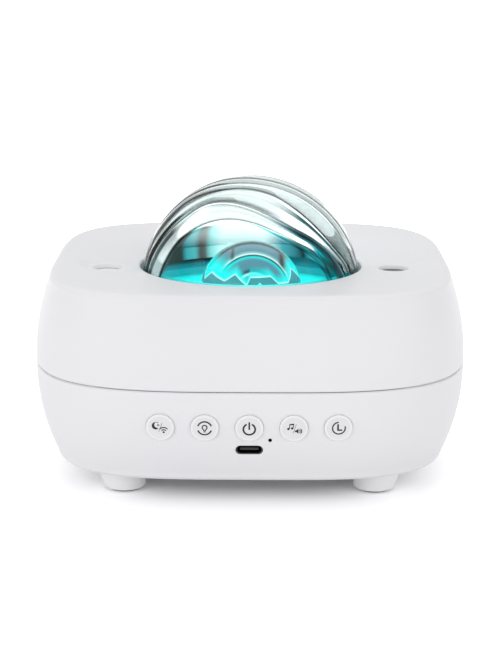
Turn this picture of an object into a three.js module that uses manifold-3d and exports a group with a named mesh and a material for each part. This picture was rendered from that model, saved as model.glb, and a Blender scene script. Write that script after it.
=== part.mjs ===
// A table-top star projector: a rounded-square white case on four feet, with a rippled clear dome set in its
// dished top. A light engine, a motor that turns an inner rippled dome, two laser units, a loudspeaker, two
// circuit boards and five push buttons sit inside. Millimetres, +Z up, the front faces -Y, and the origin is
// the middle of the footprint on the table.
import * as THREE from "three";
import { mergeVertices } from "three/addons/utils/BufferGeometryUtils.js";
import Module from "manifold-3d";

const wasm = await Module();
wasm.setup();

// Clearances shared by all pieces
const seatGap = 0.3; // between two faces that rest on each other
const slideGap = 0.3; // around a piece that slides or turns in a bore
const cutOver = 1; // how far a cut runs past the face that it opens
const joinDepth = 0.8; // how far a boss or rib is sunk into the wall that carries it
const weld = 1e-4; // points nearer than this are one point
const sides = { wide: 32, middle: 24, round: 16, small: 8 }; // flats around a circle, by its size

// The case, as both shells follow it
const body = {
  half: 76, // half the width at the parting line, where the case is widest
  bottomZ: 10,
  seamZ: 42.7,
  crestZ: 73.7, // the highest line of the top, near its outer edge
  dishDrop: 3, // how far the top sinks from there to the dome
  upperBulge: 82.5, // radius of the side wall's curve above the parting line
  lowerBulge: 70,
  topEdge: 2.1,
  bottomEdge: 2,
  wall: 2.4,
  seamPower: 3.4, // squareness of the outline: 2 is a circle
  endPower: 3.9,
  segments: 60,
};
const lap = { height: 3, wall: 1 };
const rimZ = body.crestZ - body.dishDrop;
const floorZ = body.bottomZ + body.wall;
const sideTopZ = body.crestZ - body.topEdge;
const sideBottomZ = body.bottomZ + body.bottomEdge;
const bossTopZ = rimZ - body.wall / 4;

// The fixed outer dome and the ring that clamps it
const dome = {
  radius: 39.65,
  sink: 7.6, // the sphere's centre below the rim
  wall: 2.2,
  gap: 0.55,
  flangeReach: 3.8,
  flangeThick: 2.2,
  collarWall: 2,
  collarDrop: 5.4,
  lip: 0.8,
  rippleDepth: 0.9,
  segments: 54,
};
const holeRadius = dome.radius + dome.gap;
const domeZ = rimZ - dome.sink;
const collarZ = rimZ - dome.collarDrop;
const flangeTopZ = collarZ - seatGap;
const flangeBottomZ = flangeTopZ - dome.flangeThick;
const flangeRadius = holeRadius + dome.flangeReach;

const clampRing = { reach: 0.7, inset: 1.5, thick: 2.4, earRadius: 4.4, screwReach: 3.9 };
const ringTopZ = flangeBottomZ - seatGap;
const ringBottomZ = ringTopZ - clampRing.thick;
const clampCircle = flangeRadius + clampRing.screwReach;
const clampDegrees = { right: 30, left: 150, front: 270 };

const clampScrew = { shank: 1.2, head: 2.4, headHeight: 1.6, engage: 5 };
const caseScrew = { shank: 1.25, head: 2.5, headHeight: 2, engage: 6.5 };
const boardScrew = { shank: 1, head: 1.9, headHeight: 1.3, engage: 5 };
const clampBore = clampScrew.shank + slideGap;
const caseBore = caseScrew.shank + slideGap;
const boardBore = boardScrew.shank + slideGap;

// The deck that carries the light engine, the motor and the turning dome
const deck = {
  thick: 2,
  postHeight: 9.8,
  postRadius: 3.4,
  collarInner: 22,
  collarOuter: 24.5,
  collarHeight: 3,
  cableHole: 2.4,
  cableReach: 18.6,
};
const deckTopZ = ringBottomZ - seatGap - deck.postHeight;
const deckBottomZ = deckTopZ - deck.thick;
const deckRadius = flangeRadius + clampRing.reach;

// The gear pair: stub teeth on a wide pressure angle, so that the small pinion isn't undercut
const gears = {
  module: 1.25,
  ringTeeth: 48,
  pinionTeeth: 10,
  addendumShare: 0.8,
  dedendumShare: 1.05,
  thick: 3,
  backlash: 0.12,
  pressureDegrees: 25,
};
const ringPitch = (gears.module * gears.ringTeeth) / 2;
const pinionPitch = (gears.module * gears.pinionTeeth) / 2;
const motorY = ringPitch + pinionPitch;
const gearBottomZ = deckTopZ + seatGap;
const gearTopZ = gearBottomZ + gears.thick;

const innerDome = {
  radius: 18.5,
  wall: 1.8,
  rise: 6.4, // the sphere's centre above the face that it rests on
  flange: 28,
  flangeThick: 1.4,
  rippleDepth: 0.6,
  segments: 32,
};
const innerFlangeZ = gearTopZ + seatGap;
const innerDomeZ = innerFlangeZ + innerDome.rise;

const bowl = { gap: 1.6, outer: 41, knee: 36.6, thick: 1.2, rise: 2.6 };
const bowlInner = innerDome.radius + bowl.gap;
const bowlTopZ = ringBottomZ - seatGap;

// Both domes are rippled about an axis that leans a little from the line to the front. A crease lies at each
// of these angles from its front end, and bends sideways by a share of the radius.
const ripple = {
  axis: [-0.17, -0.98, -0.1],
  creaseDegrees: [51, 61, 75, 82, 90, 99, 108, 117, 127, 139, 154],
  capSteps: 5, // rings on the smooth cap in front of the first crease
  bendShare: 0.045,
  bendRate: 3.5,
  bendFrom: 0.93,
  bendLean: 1.4,
};

const motor = { radius: 6.2, length: 12, boss: 2.8, bossHeight: 1, shaft: 1, shaftDepth: 3.2, crimp: 0.6 };

// The loudspeaker, face down on the floor of the case
const speaker = {
  radius: 26,
  ledge: 20.6,
  flangeThick: 1.2,
  gasketThick: 1,
  neck: 15,
  frameDepth: 9,
  sheet: 1.2,
  magnetRadius: 15,
  magnetThick: 6,
  coneSheet: 0.6,
  coil: 6.8,
  coilWall: 0.7,
  ribWall: 1.5,
  ribHeight: 4,
  windowHeight: 4,
  windowWidth: 9,
  slotWidth: 2.6,
  slotPitch: 5.2,
  slotReach: 18,
  slotCount: 7,
};
const gasketZ = floorZ + seatGap;
const basketZ = gasketZ + speaker.gasketThick + seatGap;
const basketRimZ = basketZ + speaker.flangeThick;
const basketBackZ = basketRimZ + speaker.frameDepth;
const magnetZ = basketBackZ + speaker.sheet + seatGap;

const mainBoard = {
  halfX: 34,
  front: 25,
  back: 25,
  thick: 1.6,
  boss: 2.8,
  insetX: 4, // the middle of a boss from the edge of the board
  insetY: 5,
  lift: 1,
};
const boardBossX = mainBoard.halfX - mainBoard.insetX;
const boardBossY = mainBoard.back - mainBoard.insetY;
const mainBoardZ = magnetZ + speaker.magnetThick + mainBoard.lift;
const mainBoardTopZ = mainBoardZ + mainBoard.thick;
const partHeight = 3; // the tallest component beside the middle of the main board

const heatSink = {
  radius: 17,
  thick: 3,
  boss: 13.5,
  bossDrop: 1, // how far its boss stops below the top of the deck
  fin: 1.4,
  finPitch: 4.6,
  finCount: 7,
  gap: 1,
};
const sinkTopZ = deckBottomZ - seatGap;
const finZ = mainBoardTopZ + partHeight + heatSink.gap;

const led = { boardRadius: 10.5, boardThick: 1.6, base: 5.4, baseThick: 1, lens: 2.4, lensHeight: 1.7 };
const ledBoardZ = deckTopZ - heatSink.bossDrop + seatGap;

// A laser unit each side of the dome
const laser = {
  gap: 2.3, // from the barrel to the edge of the deck
  y: -12.5,
  barrel: 6,
  length: 17,
  window: 1,
  sleeveWall: 1.3,
  opening: 5.5,
  sink: 1.3,
  sinkDepth: 1.1,
  seatBelowRim: 0.2,
  neck: 3.4,
  neckLength: 5,
};
const laserX = Math.sqrt((deckRadius + laser.gap + laser.barrel) ** 2 - laser.y ** 2);
const laserSeatZ = rimZ - laser.seatBelowRim;
const windowTopZ = laserSeatZ - seatGap;
const barrelTopZ = windowTopZ - laser.window - seatGap;
const barrelBottomZ = barrelTopZ - laser.length;

// The feet, which plug into the wells of the case screws
const foot = {
  shareX: 0.592, // its place, as a share of half the case's width
  shareY: 0.612,
  lean: 1.5, // how far the sole stands nearer the middle than the top does
  topRadius: 8.8,
  soleRadius: 7.3,
  edge: 1,
  soleZ: 0.8,
  peg: 3,
  pegLength: 4.5,
};
const footX = foot.shareX * body.half;
const footY = foot.shareY * body.half;
const pad = { radius: 5.7, recess: 1.6 };
const well = { radius: foot.peg + slideGap, wall: 1.3, roof: 7 };
const bossGap = 0.85; // the middle of the joint between the case bosses, above the parting line
const bossJointZ = body.seamZ + bossGap;
const wellTopZ = bossJointZ - well.roof;
const upperBossRadius = 4.4;

// The push buttons and what is behind them
const button = {
  count: 5,
  pitch: 14.7,
  z: 30.4,
  radius: 4.65,
  proud: 0.9,
  bevel: 0.5,
  sleeveWall: 0.95,
  flangeReach: 1.1,
  flangeThick: 1.2,
  stem: 1.6,
  stemLength: 2.2,
};
const capHole = button.radius + slideGap;
const capFlange = button.radius + button.flangeReach;
const sleeveRadius = capHole + button.sleeveWall;
const buttonNames = ["wireless", "colour", "power", "sound", "timer"];

const tactSwitch = { half: 3, height: 3.4, plunger: 1.75, plungerProud: 1, plungerDepth: 1.6, touchGap: 0.1 };
const controlBoard = {
  thick: 1.6,
  side: 8,
  above: 7.6,
  below: 14.4,
  post: 4,
  postDepth: 6,
  bite: 1, // how far each end stands in its slotted post
  postDrop: 4,
};

const usb = {
  width: 8.94,
  height: 3.26,
  sheet: 0.35,
  gap: 0.77, // between it and the middle button's flange
  recess: 0.8,
  slotX: 0.45,
  slotZ: 0.35,
  tongueThick: 0.8,
};
const usbZ = button.z - capFlange - usb.gap - usb.height / 2;

const mic = { radius: 2, length: 4.3, pinhole: 0.6, tube: 2.1, gap: 0.45, angle: 57.3 };
const micReach = capFlange + mic.radius + mic.gap;
const micX = micReach * Math.sin(THREE.MathUtils.degToRad(mic.angle));
const micZ = button.z - micReach * Math.cos(THREE.MathUtils.degToRad(mic.angle));

// Half the case's width at a height, without the rounded edges
function halfAt(z) {
  const bulge = z > body.seamZ ? body.upperBulge : body.lowerBulge;
  const rise = z - body.seamZ;
  return body.half - (bulge - Math.sqrt(bulge * bulge - rise * rise));
}

// Squareness of the outline at a height: least at the parting line, most at the top and bottom
function powerAt(z) {
  const end = z > body.seamZ ? sideTopZ : sideBottomZ;
  const share = Math.min(1, Math.abs((z - body.seamZ) / (end - body.seamZ)));
  return body.seamPower + (body.endPower - body.seamPower) * share;
}

// How far out the front wall stands at a place on it, as a positive distance from the middle
function frontAt(x, z, inset = 0) {
  const half = halfAt(z) - inset;
  const power = powerAt(z);
  return (half ** power - Math.abs(x) ** power) ** (1 / power);
}

const buttonX = (i) => (i - (button.count - 1) / 2) * button.pitch;
const outerX = buttonX(button.count - 1);

// Depths behind the front wall, all from the place where the inner wall comes nearest to a button's flange
const sleeveEnd = frontAt(outerX + capFlange, button.z - capFlange, body.wall) - seatGap;
const flangeFront = sleeveEnd - seatGap;
const flangeBack = flangeFront - button.flangeThick;
const stemEnd = flangeBack - button.stemLength + tactSwitch.plungerProud;
const plungerFace = stemEnd - tactSwitch.touchGap;
const switchFace = plungerFace - tactSwitch.plungerProud;
const boardFace = switchFace - tactSwitch.height;
const boardBack = boardFace - controlBoard.thick;
const boardHalf = outerX + controlBoard.side;

// Turns a closed geometry into a solid that can be joined and cut
function solid(geometry) {
  const plain = new THREE.BufferGeometry().setAttribute("position", geometry.getAttribute("position"));
  if (geometry.index) plain.setIndex(geometry.index);
  const merged = mergeVertices(plain, weld);
  const index = merged.index.array;
  const triangles = [];
  for (let i = 0; i < index.length; i += 3) {
    const [a, b, c] = [index[i], index[i + 1], index[i + 2]];
    if (a !== b && b !== c && c !== a) triangles.push(a, b, c);
  }
  const make = (list) =>
    new wasm.Manifold(
      new wasm.Mesh({
        numProp: 3,
        vertProperties: merged.attributes.position.array,
        triVerts: new Uint32Array(list),
      }),
    );
  const made = make(triangles);
  return made.volume() < 0 ? make(triangles.reverse()) : made;
}

function geometryOf(made) {
  const mesh = made.getMesh();
  return new THREE.BufferGeometry()
    .setAttribute("position", new THREE.BufferAttribute(mesh.vertProperties, 3))
    .setIndex(new THREE.BufferAttribute(mesh.triVerts, 1));
}

const join = (first, ...rest) => rest.reduce((all, next) => all.add(next), first);
const cut = (first, ...rest) => rest.reduce((all, next) => all.subtract(next), first);

// A profile of [radius, z] pairs turned about the Z axis: it ends on the axis, or is closed here
function turned(profile, segments) {
  const points = profile.map(([r, z]) => new THREE.Vector2(r, z));
  if (profile[0][0] > 0 || profile.at(-1)[0] > 0) points.push(points[0].clone());
  return new THREE.LatheGeometry(points, segments).rotateX(Math.PI / 2);
}

// A cylinder along Z between two heights
function rod(radius, low, high, x = 0, y = 0, flats = sides.round) {
  const made = new THREE.CylinderGeometry(radius, radius, high - low, flats).rotateX(Math.PI / 2);
  return solid(made.translate(x, y, (low + high) / 2));
}

// A cylinder along Y between two distances in front of the middle
function frontRod(radius, near, far, x, z, flats = sides.round) {
  const made = new THREE.CylinderGeometry(radius, radius, far - near, flats);
  return solid(made.translate(x, -(near + far) / 2, z));
}

function block(x0, x1, y0, y1, z0, z1) {
  const made = new THREE.BoxGeometry(x1 - x0, y1 - y0, z1 - z0);
  return solid(made.translate((x0 + x1) / 2, (y0 + y1) / 2, (z0 + z1) / 2));
}

// A flat outline with round ends, across X, given by its full width and height
function stadium(width, height) {
  const shape = new THREE.Shape();
  const end = (width - height) / 2;
  shape.absarc(end, 0, height / 2, -Math.PI / 2, Math.PI / 2);
  shape.absarc(-end, 0, height / 2, Math.PI / 2, (3 * Math.PI) / 2);
  return shape;
}

function moved(geometry, change) {
  const position = geometry.getAttribute("position");
  const point = new THREE.Vector3();
  for (let i = 0; i < position.count; i += 1) {
    point.fromBufferAttribute(position, i);
    change(point);
    position.setXYZ(i, point.x, point.y, point.z);
  }
  return geometry;
}

// Pulls a turned shape out to the case's outline. Inside the given radius it stays round.
function squared(geometry, roundRadius, squareRadius) {
  return moved(geometry, (p) => {
    const radius = Math.hypot(p.x, p.y);
    if (radius < roundRadius || radius === 0) return;
    const share = Math.min(1, (radius - roundRadius) / (squareRadius - roundRadius));
    const power = powerAt(p.z);
    const [c, s] = [Math.abs(p.x / radius), Math.abs(p.y / radius)];
    const full = (c ** power + s ** power) ** (-1 / power);
    const factor = 1 + (full - 1) * share;
    p.x *= factor;
    p.y *= factor;
  });
}

// Points of a side wall between two heights, at an inset from the outside
function side(low, high, steps, inset) {
  return Array.from({ length: steps + 1 }, (_, i) => {
    const z = low + ((high - low) * i) / steps;
    return [halfAt(z) - inset, z];
  });
}

// Points of a quarter round from the side wall to a flat face
function rounded(half, sideZ, faceZ, steps = 2) {
  const edge = faceZ - sideZ;
  return Array.from({ length: steps }, (_, i) => {
    const angle = ((i + 1) / steps) * (Math.PI / 2);
    return [half - Math.abs(edge) * (1 - Math.cos(angle)), sideZ + edge * Math.sin(angle)];
  });
}

// A ball with creases around its own leaning axis, a low crest between each two and a smooth cap in front. A
// crease bends as it runs across, and crowds towards the front at one side.
function rippledBall(radius, depth, centreZ, segments) {
  const [first, ...others] = ripple.creaseDegrees;
  const stops = Array.from({ length: ripple.capSteps + 1 }, (_, i) => (first * i) / ripple.capSteps);
  for (const degrees of others) stops.push((stops.at(-1) + degrees) / 2, degrees);
  stops.push((stops.at(-1) + 180) / 2, 180);
  const axis = new THREE.Vector3(...ripple.axis).normalize();
  const turn = new THREE.Quaternion().setFromUnitVectors(new THREE.Vector3(0, 1, 0), axis);
  const points = stops.map((degrees) => new THREE.Vector2(...onCircle(1, degrees - 90)));
  points[0].x = 0;
  points.at(-1).x = 0;
  const ball = new THREE.LatheGeometry(points.map((p) => new THREE.Vector2(p.x, -p.y)), segments);
  const creased = (along) => {
    const degrees = THREE.MathUtils.radToDeg(Math.acos(Math.min(1, Math.max(-1, along))));
    return ripple.creaseDegrees.some((crease) => Math.abs(crease - degrees) < 1);
  };
  return moved(ball, (p) => {
    const along = p.y;
    const reach = radius - (creased(along) ? depth : 0);
    const flat = p.clone().applyQuaternion(turn);
    const bendX = ripple.bendFrom - ripple.bendLean * along;
    const bend = ripple.bendShare * Math.cos(ripple.bendRate * (flat.x - bendX)) * (1 - along * along);
    const turned = Math.acos(Math.min(1, Math.max(-1, along))) - bend;
    const ring = Math.hypot(p.x, p.z);
    const scale = ring > 0 ? Math.sin(turned) / ring : 0;
    p.set(p.x * scale, Math.cos(turned), p.z * scale).applyQuaternion(turn).multiplyScalar(reach);
    p.z += centreZ;
  });
}

// A rippled dome wall above a height: its ball, less what is below and less a smooth ball inside
function domeWall(sizes, centreZ, fromZ, flats) {
  const ball = solid(rippledBall(sizes.radius, sizes.rippleDepth, centreZ, sizes.segments));
  const far = sizes.radius + cutOver;
  return cut(
    ball,
    block(-far, far, -far, far, centreZ - far, fromZ),
    ballInside(sizes, centreZ, flats),
  );
}

function ballInside(sizes, centreZ, flats) {
  const steps = flats / 2;
  const points = Array.from({ length: steps + 1 }, (_, i) => {
    const [across, up] = onCircle(sizes.radius - sizes.wall, -90 + (180 * i) / steps);
    return [i % steps ? across : 0, centreZ + up];
  });
  return solid(turned(points, flats));
}

const onCircle = (radius, degrees) => {
  const angle = THREE.MathUtils.degToRad(degrees);
  return [radius * Math.cos(angle), radius * Math.sin(angle)];
};
const footSigns = { front_left: [-1, -1], front_right: [1, -1], rear_left: [-1, 1], rear_right: [1, 1] };

function upperShell() {
  const low = body.seamZ + seatGap / 2;
  const shelfZ = body.seamZ + lap.height + seatGap;
  const skirt = body.wall - lap.wall - seatGap;
  const crest = halfAt(sideTopZ) - body.topEdge;
  const innerTopZ = body.crestZ - body.wall;
  const innerSideTopZ = innerTopZ - body.topEdge;
  const ringOuter = holeRadius + dome.collarWall;
  const lipOuter = holeRadius + dome.lip;
  const profile = [
    ...side(low, sideTopZ, 4, 0),
    ...rounded(halfAt(sideTopZ), sideTopZ, body.crestZ),
    [(crest + lipOuter) / 2, (body.crestZ + rimZ) / 2],
    [lipOuter, rimZ],
    [holeRadius, rimZ - dome.lip],
    [holeRadius, collarZ],
    [ringOuter, collarZ],
    [ringOuter, rimZ - body.wall],
    ...rounded(halfAt(innerSideTopZ) - body.wall, innerSideTopZ, innerTopZ).reverse(),
    ...side(shelfZ, innerSideTopZ, 2, body.wall).reverse(),
    [halfAt(shelfZ) - skirt, shelfZ],
    [halfAt(low) - skirt, low],
  ];
  let shell = solid(squared(turned(profile, body.segments), lipOuter, crest));
  for (const degrees of Object.values(clampDegrees)) {
    const [x, y] = onCircle(clampCircle, degrees);
    const bossZ = ringTopZ + seatGap;
    const pilotZ = bossZ + clampScrew.engage + seatGap;
    shell = join(shell, rod(deck.postRadius, bossZ, bossTopZ, x, y));
    shell = cut(shell, rod(clampBore, bossZ - cutOver, pilotZ, x, y, sides.small));
  }
  for (const [sx, sy] of Object.values(footSigns)) {
    const bossZ = bossJointZ + seatGap / 2;
    const pilotZ = bossZ + caseScrew.engage + seatGap;
    const [x, y] = [sx * footX, sy * footY];
    shell = join(shell, rod(upperBossRadius, bossZ, bossTopZ, x, y));
    shell = cut(shell, rod(caseBore, bossZ - cutOver, pilotZ, x, y, sides.small));
  }
  for (const sign of [-1, 1]) {
    const bore = laser.barrel + slideGap;
    const sleeveZ = barrelTopZ - laser.length / 2;
    const x = sign * laserX;
    shell = join(shell, rod(bore + laser.sleeveWall, sleeveZ, bossTopZ, x, laser.y));
    shell = cut(shell, rod(bore, sleeveZ - cutOver, laserSeatZ, x, laser.y));
    shell = cut(shell, rod(laser.opening, sleeveZ, body.crestZ + cutOver, x, laser.y));
    const surfaceZ = rimZ + (body.dishDrop * (laserX - lipOuter)) / (crest - lipOuter);
    const sinkOuter = laser.opening + laser.sink + cutOver;
    const sinkRimZ = surfaceZ + (cutOver * laser.sinkDepth) / laser.sink;
    const countersink = turned(
      [
        [0, surfaceZ - laser.sinkDepth],
        [laser.opening, surfaceZ - laser.sinkDepth],
        [sinkOuter, sinkRimZ],
        [0, sinkRimZ],
      ],
      sides.round,
    );
    shell = cut(shell, solid(countersink.translate(x, laser.y, 0)));
  }
  return shell;
}

function speakerSlots() {
  const slots = [];
  for (let i = 0; i < speaker.slotCount; i += 1) {
    const y = (i - (speaker.slotCount - 1) / 2) * speaker.slotPitch;
    const width = 2 * Math.sqrt(speaker.slotReach ** 2 - y ** 2);
    const slot = new THREE.ExtrudeGeometry(stadium(width, speaker.slotWidth), {
      depth: body.wall + 2 * cutOver,
      bevelEnabled: false,
      curveSegments: 3,
    });
    slots.push(solid(slot.translate(0, y, body.bottomZ - cutOver)));
  }
  return slots;
}

// A round-ended prism along Y, for the socket and what it goes through
function socketPrism(width, height, near, far) {
  const made = new THREE.ExtrudeGeometry(stadium(width, height), {
    depth: far - near,
    bevelEnabled: false,
    curveSegments: 4,
  });
  return solid(made.rotateX(Math.PI / 2).translate(0, -near, usbZ));
}

function lowerShell() {
  const high = body.seamZ - seatGap / 2;
  const tongueZ = body.seamZ + lap.height;
  const inner = body.wall;
  const step = body.wall - lap.wall;
  const profile = [
    [0, body.bottomZ],
    ...rounded(halfAt(sideBottomZ), sideBottomZ, body.bottomZ).reverse(),
    ...side(sideBottomZ, high, 4, 0),
    [halfAt(high) - step, high],
    [halfAt(tongueZ) - step, tongueZ],
    [halfAt(tongueZ) - inner, tongueZ],
    ...side(floorZ, high, 2, inner).reverse(),
    [0, floorZ],
  ];
  let shell = solid(squared(turned(profile, body.segments), 0, body.wall));
  const ribInner = speaker.radius + seatGap;
  const ribFoot = floorZ - joinDepth;
  const ribTop = floorZ + speaker.ribHeight;
  shell = join(shell, cut(
    rod(ribInner + speaker.ribWall, ribFoot, ribTop, 0, 0, sides.middle),
    rod(ribInner, ribFoot - cutOver, ribTop + cutOver, 0, 0, sides.middle),
  ));
  for (const [sx, sy] of Object.values(footSigns)) {
    const [x, y] = [sx * footX, sy * footY];
    const bossZ = bossJointZ - seatGap / 2;
    shell = join(shell, rod(well.radius + well.wall, floorZ - joinDepth, bossZ, x, y));
    shell = cut(shell, rod(well.radius, body.bottomZ - cutOver, wellTopZ, x, y));
    shell = cut(shell, rod(caseBore, wellTopZ - cutOver, bossZ + cutOver, x, y, sides.small));
    const [bx, by] = [sx * boardBossX, sy * boardBossY];
    shell = join(shell, rod(mainBoard.boss, floorZ - joinDepth, mainBoardZ - seatGap, bx, by, sides.round));
    const pilotZ = mainBoardZ - seatGap - boardScrew.engage;
    shell = cut(shell, rod(boardBore, pilotZ, mainBoardZ, bx, by, sides.small));
  }
  for (const sign of [-1, 1]) {
    const near = boardHalf - controlBoard.bite;
    const [x0, x1] = sign > 0 ? [near, near + controlBoard.post] : [-near - controlBoard.post, -near];
    const middle = (boardFace + boardBack) / 2;
    const reach = controlBoard.postDepth / 2;
    const topZ = button.z + controlBoard.above - controlBoard.postDrop;
    const grooveX = sign * (boardHalf + seatGap);
    const groove = controlBoard.thick / 2 + seatGap;
    shell = join(shell, block(x0, x1, -middle - reach, -middle + reach, floorZ - joinDepth, topZ));
    shell = cut(shell, block(
      Math.min(grooveX, 0), Math.max(grooveX, 0), -middle - groove, -middle + groove,
      button.z - controlBoard.below - seatGap, topZ + cutOver,
    ));
  }
  for (let i = 0; i < button.count; i += 1) {
    const x = buttonX(i);
    const sunk = frontAt(x, button.z) - joinDepth;
    shell = join(shell, frontRod(sleeveRadius, sleeveEnd, sunk - body.wall / 2, x, button.z));
  }
  const tubeEnd = boardFace + seatGap + mic.length + seatGap;
  shell = join(shell, frontRod(mic.tube, tubeEnd, frontAt(micX, micZ) - joinDepth, micX, micZ, sides.small));
  for (let i = 0; i < button.count; i += 1) {
    shell = cut(shell, frontRod(capHole, sleeveEnd - cutOver, body.half + cutOver, buttonX(i), button.z));
  }
  shell = cut(
    shell,
    frontRod(mic.pinhole, tubeEnd - cutOver, body.half + cutOver, micX, micZ, sides.small),
    socketPrism(usb.width + 2 * usb.slotX, usb.height + 2 * usb.slotZ, boardFace, body.half + cutOver),
    ...speakerSlots(),
  );
  return shell;
}

function domeLens() {
  const flange = cut(
    rod(flangeRadius, flangeBottomZ, flangeTopZ, 0, 0, dome.segments),
    ballInside(dome, domeZ, sides.wide),
    rod(dome.radius - dome.wall, flangeBottomZ - cutOver, domeZ, 0, 0, sides.wide),
  );
  return join(domeWall(dome, domeZ, flangeTopZ - joinDepth, sides.wide), flange);
}

function domeClampRing() {
  const inner = dome.radius - clampRing.inset;
  const outer = flangeRadius + clampRing.reach;
  let ring = rod(outer, ringBottomZ, ringTopZ, 0, 0, sides.wide);
  for (const degrees of Object.values(clampDegrees)) {
    const [x, y] = onCircle(clampCircle, degrees);
    ring = join(ring, rod(clampRing.earRadius, ringBottomZ, ringTopZ, x, y));
    ring = cut(ring, rod(clampBore, ringBottomZ - cutOver, ringTopZ + cutOver, x, y, sides.small));
  }
  return cut(ring, rod(inner, ringBottomZ - cutOver, ringTopZ + cutOver, 0, 0, sides.wide));
}

// A pan-head screw that points up, with a cross recess in its head
function screw(kind, headTopZ, tipZ, x, y) {
  const bottom = headTopZ - kind.headHeight;
  const slotHalf = kind.head / 7;
  const arm = kind.head * 0.62;
  const deep = bottom + kind.headHeight / 2;
  return cut(
    join(rod(kind.head, bottom, headTopZ, x, y), rod(kind.shank, bottom, tipZ, x, y, sides.small)),
    block(x - arm, x + arm, y - slotHalf, y + slotHalf, bottom - cutOver, deep),
    block(x - slotHalf, x + slotHalf, y - arm, y + arm, bottom - cutOver, deep),
  );
}

function opticsDeck() {
  let plate = rod(deckRadius, deckBottomZ, deckTopZ, 0, 0, sides.wide);
  for (const degrees of Object.values(clampDegrees)) {
    const [x, y] = onCircle(clampCircle, degrees);
    plate = join(plate, rod(clampRing.earRadius, deckBottomZ, deckTopZ, x, y));
    plate = join(plate, rod(deck.postRadius, deckBottomZ, ringBottomZ - seatGap, x, y));
    plate = cut(plate, rod(clampBore, deckBottomZ - cutOver, ringBottomZ, x, y, sides.small));
  }
  const collarTopZ = deckTopZ + deck.collarHeight;
  plate = join(plate, cut(
    rod(deck.collarOuter, deckTopZ - joinDepth, collarTopZ, 0, 0, sides.wide),
    rod(deck.collarInner, deckTopZ - joinDepth - cutOver, collarTopZ + cutOver, 0, 0, sides.wide),
  ));
  return cut(
    plate,
    rod(heatSink.boss + slideGap, deckBottomZ - cutOver, deckTopZ + cutOver, 0, 0, sides.middle),
    rod(motor.boss + slideGap, deckBottomZ - cutOver, deckTopZ + cutOver, 0, motorY),
    rod(deck.cableHole, deckBottomZ - cutOver, deckTopZ + cutOver, 0, -deck.cableReach, sides.small),
  );
}

// Half the angle that a tooth fills at a radius, from the involute of its base circle
function toothHalfAngle(teeth, radius) {
  const pressure = THREE.MathUtils.degToRad(gears.pressureDegrees);
  const pitch = (gears.module * teeth) / 2;
  const base = pitch * Math.cos(pressure);
  const involute = (angle) => Math.tan(angle) - angle;
  const here = radius > base ? Math.acos(base / radius) : 0;
  return Math.PI / (2 * teeth) - gears.backlash / pitch + involute(pressure) - involute(here);
}

function gearShape(teeth, pointingDegrees) {
  const pitch = (gears.module * teeth) / 2;
  const root = pitch - gears.module * gears.dedendumShare;
  const tip = pitch + gears.module * gears.addendumShare;
  const flank = [root, pitch, tip];
  const points = [];
  for (let i = 0; i < teeth; i += 1) {
    const middle = THREE.MathUtils.degToRad(pointingDegrees) + (i * 2 * Math.PI) / teeth;
    for (const r of flank) points.push([r, middle - toothHalfAngle(teeth, r)]);
    for (const r of [...flank].reverse()) points.push([r, middle + toothHalfAngle(teeth, r)]);
  }
  return new THREE.Shape(points.map(([r, a]) => new THREE.Vector2(r * Math.cos(a), r * Math.sin(a))));
}

function gear(teeth, pointingDegrees, x, y) {
  const made = new THREE.ExtrudeGeometry(gearShape(teeth, pointingDegrees), {
    depth: gears.thick,
    bevelEnabled: false,
  });
  return solid(made.translate(x, y, gearBottomZ));
}

function rotorGear() {
  const bore = deck.collarOuter + slideGap;
  return cut(gear(gears.ringTeeth, 90, 0, 0), rod(bore, deckTopZ, gearTopZ + cutOver, 0, 0, sides.wide));
}

function motorPinion() {
  const halfTooth = 180 / gears.pinionTeeth;
  const shaft = rod(motor.shaft, deckBottomZ - motor.shaftDepth, gearTopZ, 0, motorY, sides.small);
  return join(gear(gears.pinionTeeth, -90 + halfTooth, 0, motorY), shaft);
}

function motorBody() {
  const topZ = deckBottomZ - seatGap;
  const bottomZ = Math.max(topZ - motor.length, finZ - heatSink.gap);
  const profile = [
    [0, bottomZ],
    [motor.radius - motor.crimp, bottomZ],
    [motor.radius, bottomZ + motor.crimp],
    [motor.radius, topZ],
    [motor.boss, topZ],
    [motor.boss, topZ + motor.bossHeight],
    [0, topZ + motor.bossHeight],
  ];
  const boreZ = topZ - motor.shaftDepth - seatGap;
  const bore = rod(motor.shaft + slideGap, boreZ, topZ + motor.bossHeight + cutOver, 0, 0, sides.small);
  return cut(solid(turned(profile, sides.round)), bore).translate(0, motorY, 0);
}

function innerDomeLens() {
  const inner = innerDome.radius - innerDome.wall;
  const flats = sides.middle;
  const shoulderZ = innerFlangeZ + innerDome.flangeThick;
  const skirt = innerDome.radius - innerDome.rippleDepth;
  return join(
    domeWall(innerDome, innerDomeZ, innerDomeZ, flats),
    cut(
      join(
        rod(innerDome.flange, innerFlangeZ, shoulderZ, 0, 0, innerDome.segments),
        rod(skirt, innerFlangeZ, innerDomeZ + joinDepth, 0, 0, innerDome.segments),
      ),
      rod(inner, innerFlangeZ - cutOver, innerDomeZ + joinDepth + cutOver, 0, 0, flats),
    ),
  );
}

function reflectorBowl() {
  const lowZ = bowlTopZ - bowl.rise;
  const profile = [
    [bowlInner, lowZ],
    [bowl.knee, bowlTopZ],
    [bowl.outer, bowlTopZ],
    [bowl.outer, bowlTopZ - bowl.thick],
    [bowl.knee, bowlTopZ - bowl.thick],
    [bowlInner, lowZ - bowl.thick],
  ];
  return solid(turned(profile, sides.wide));
}

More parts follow.
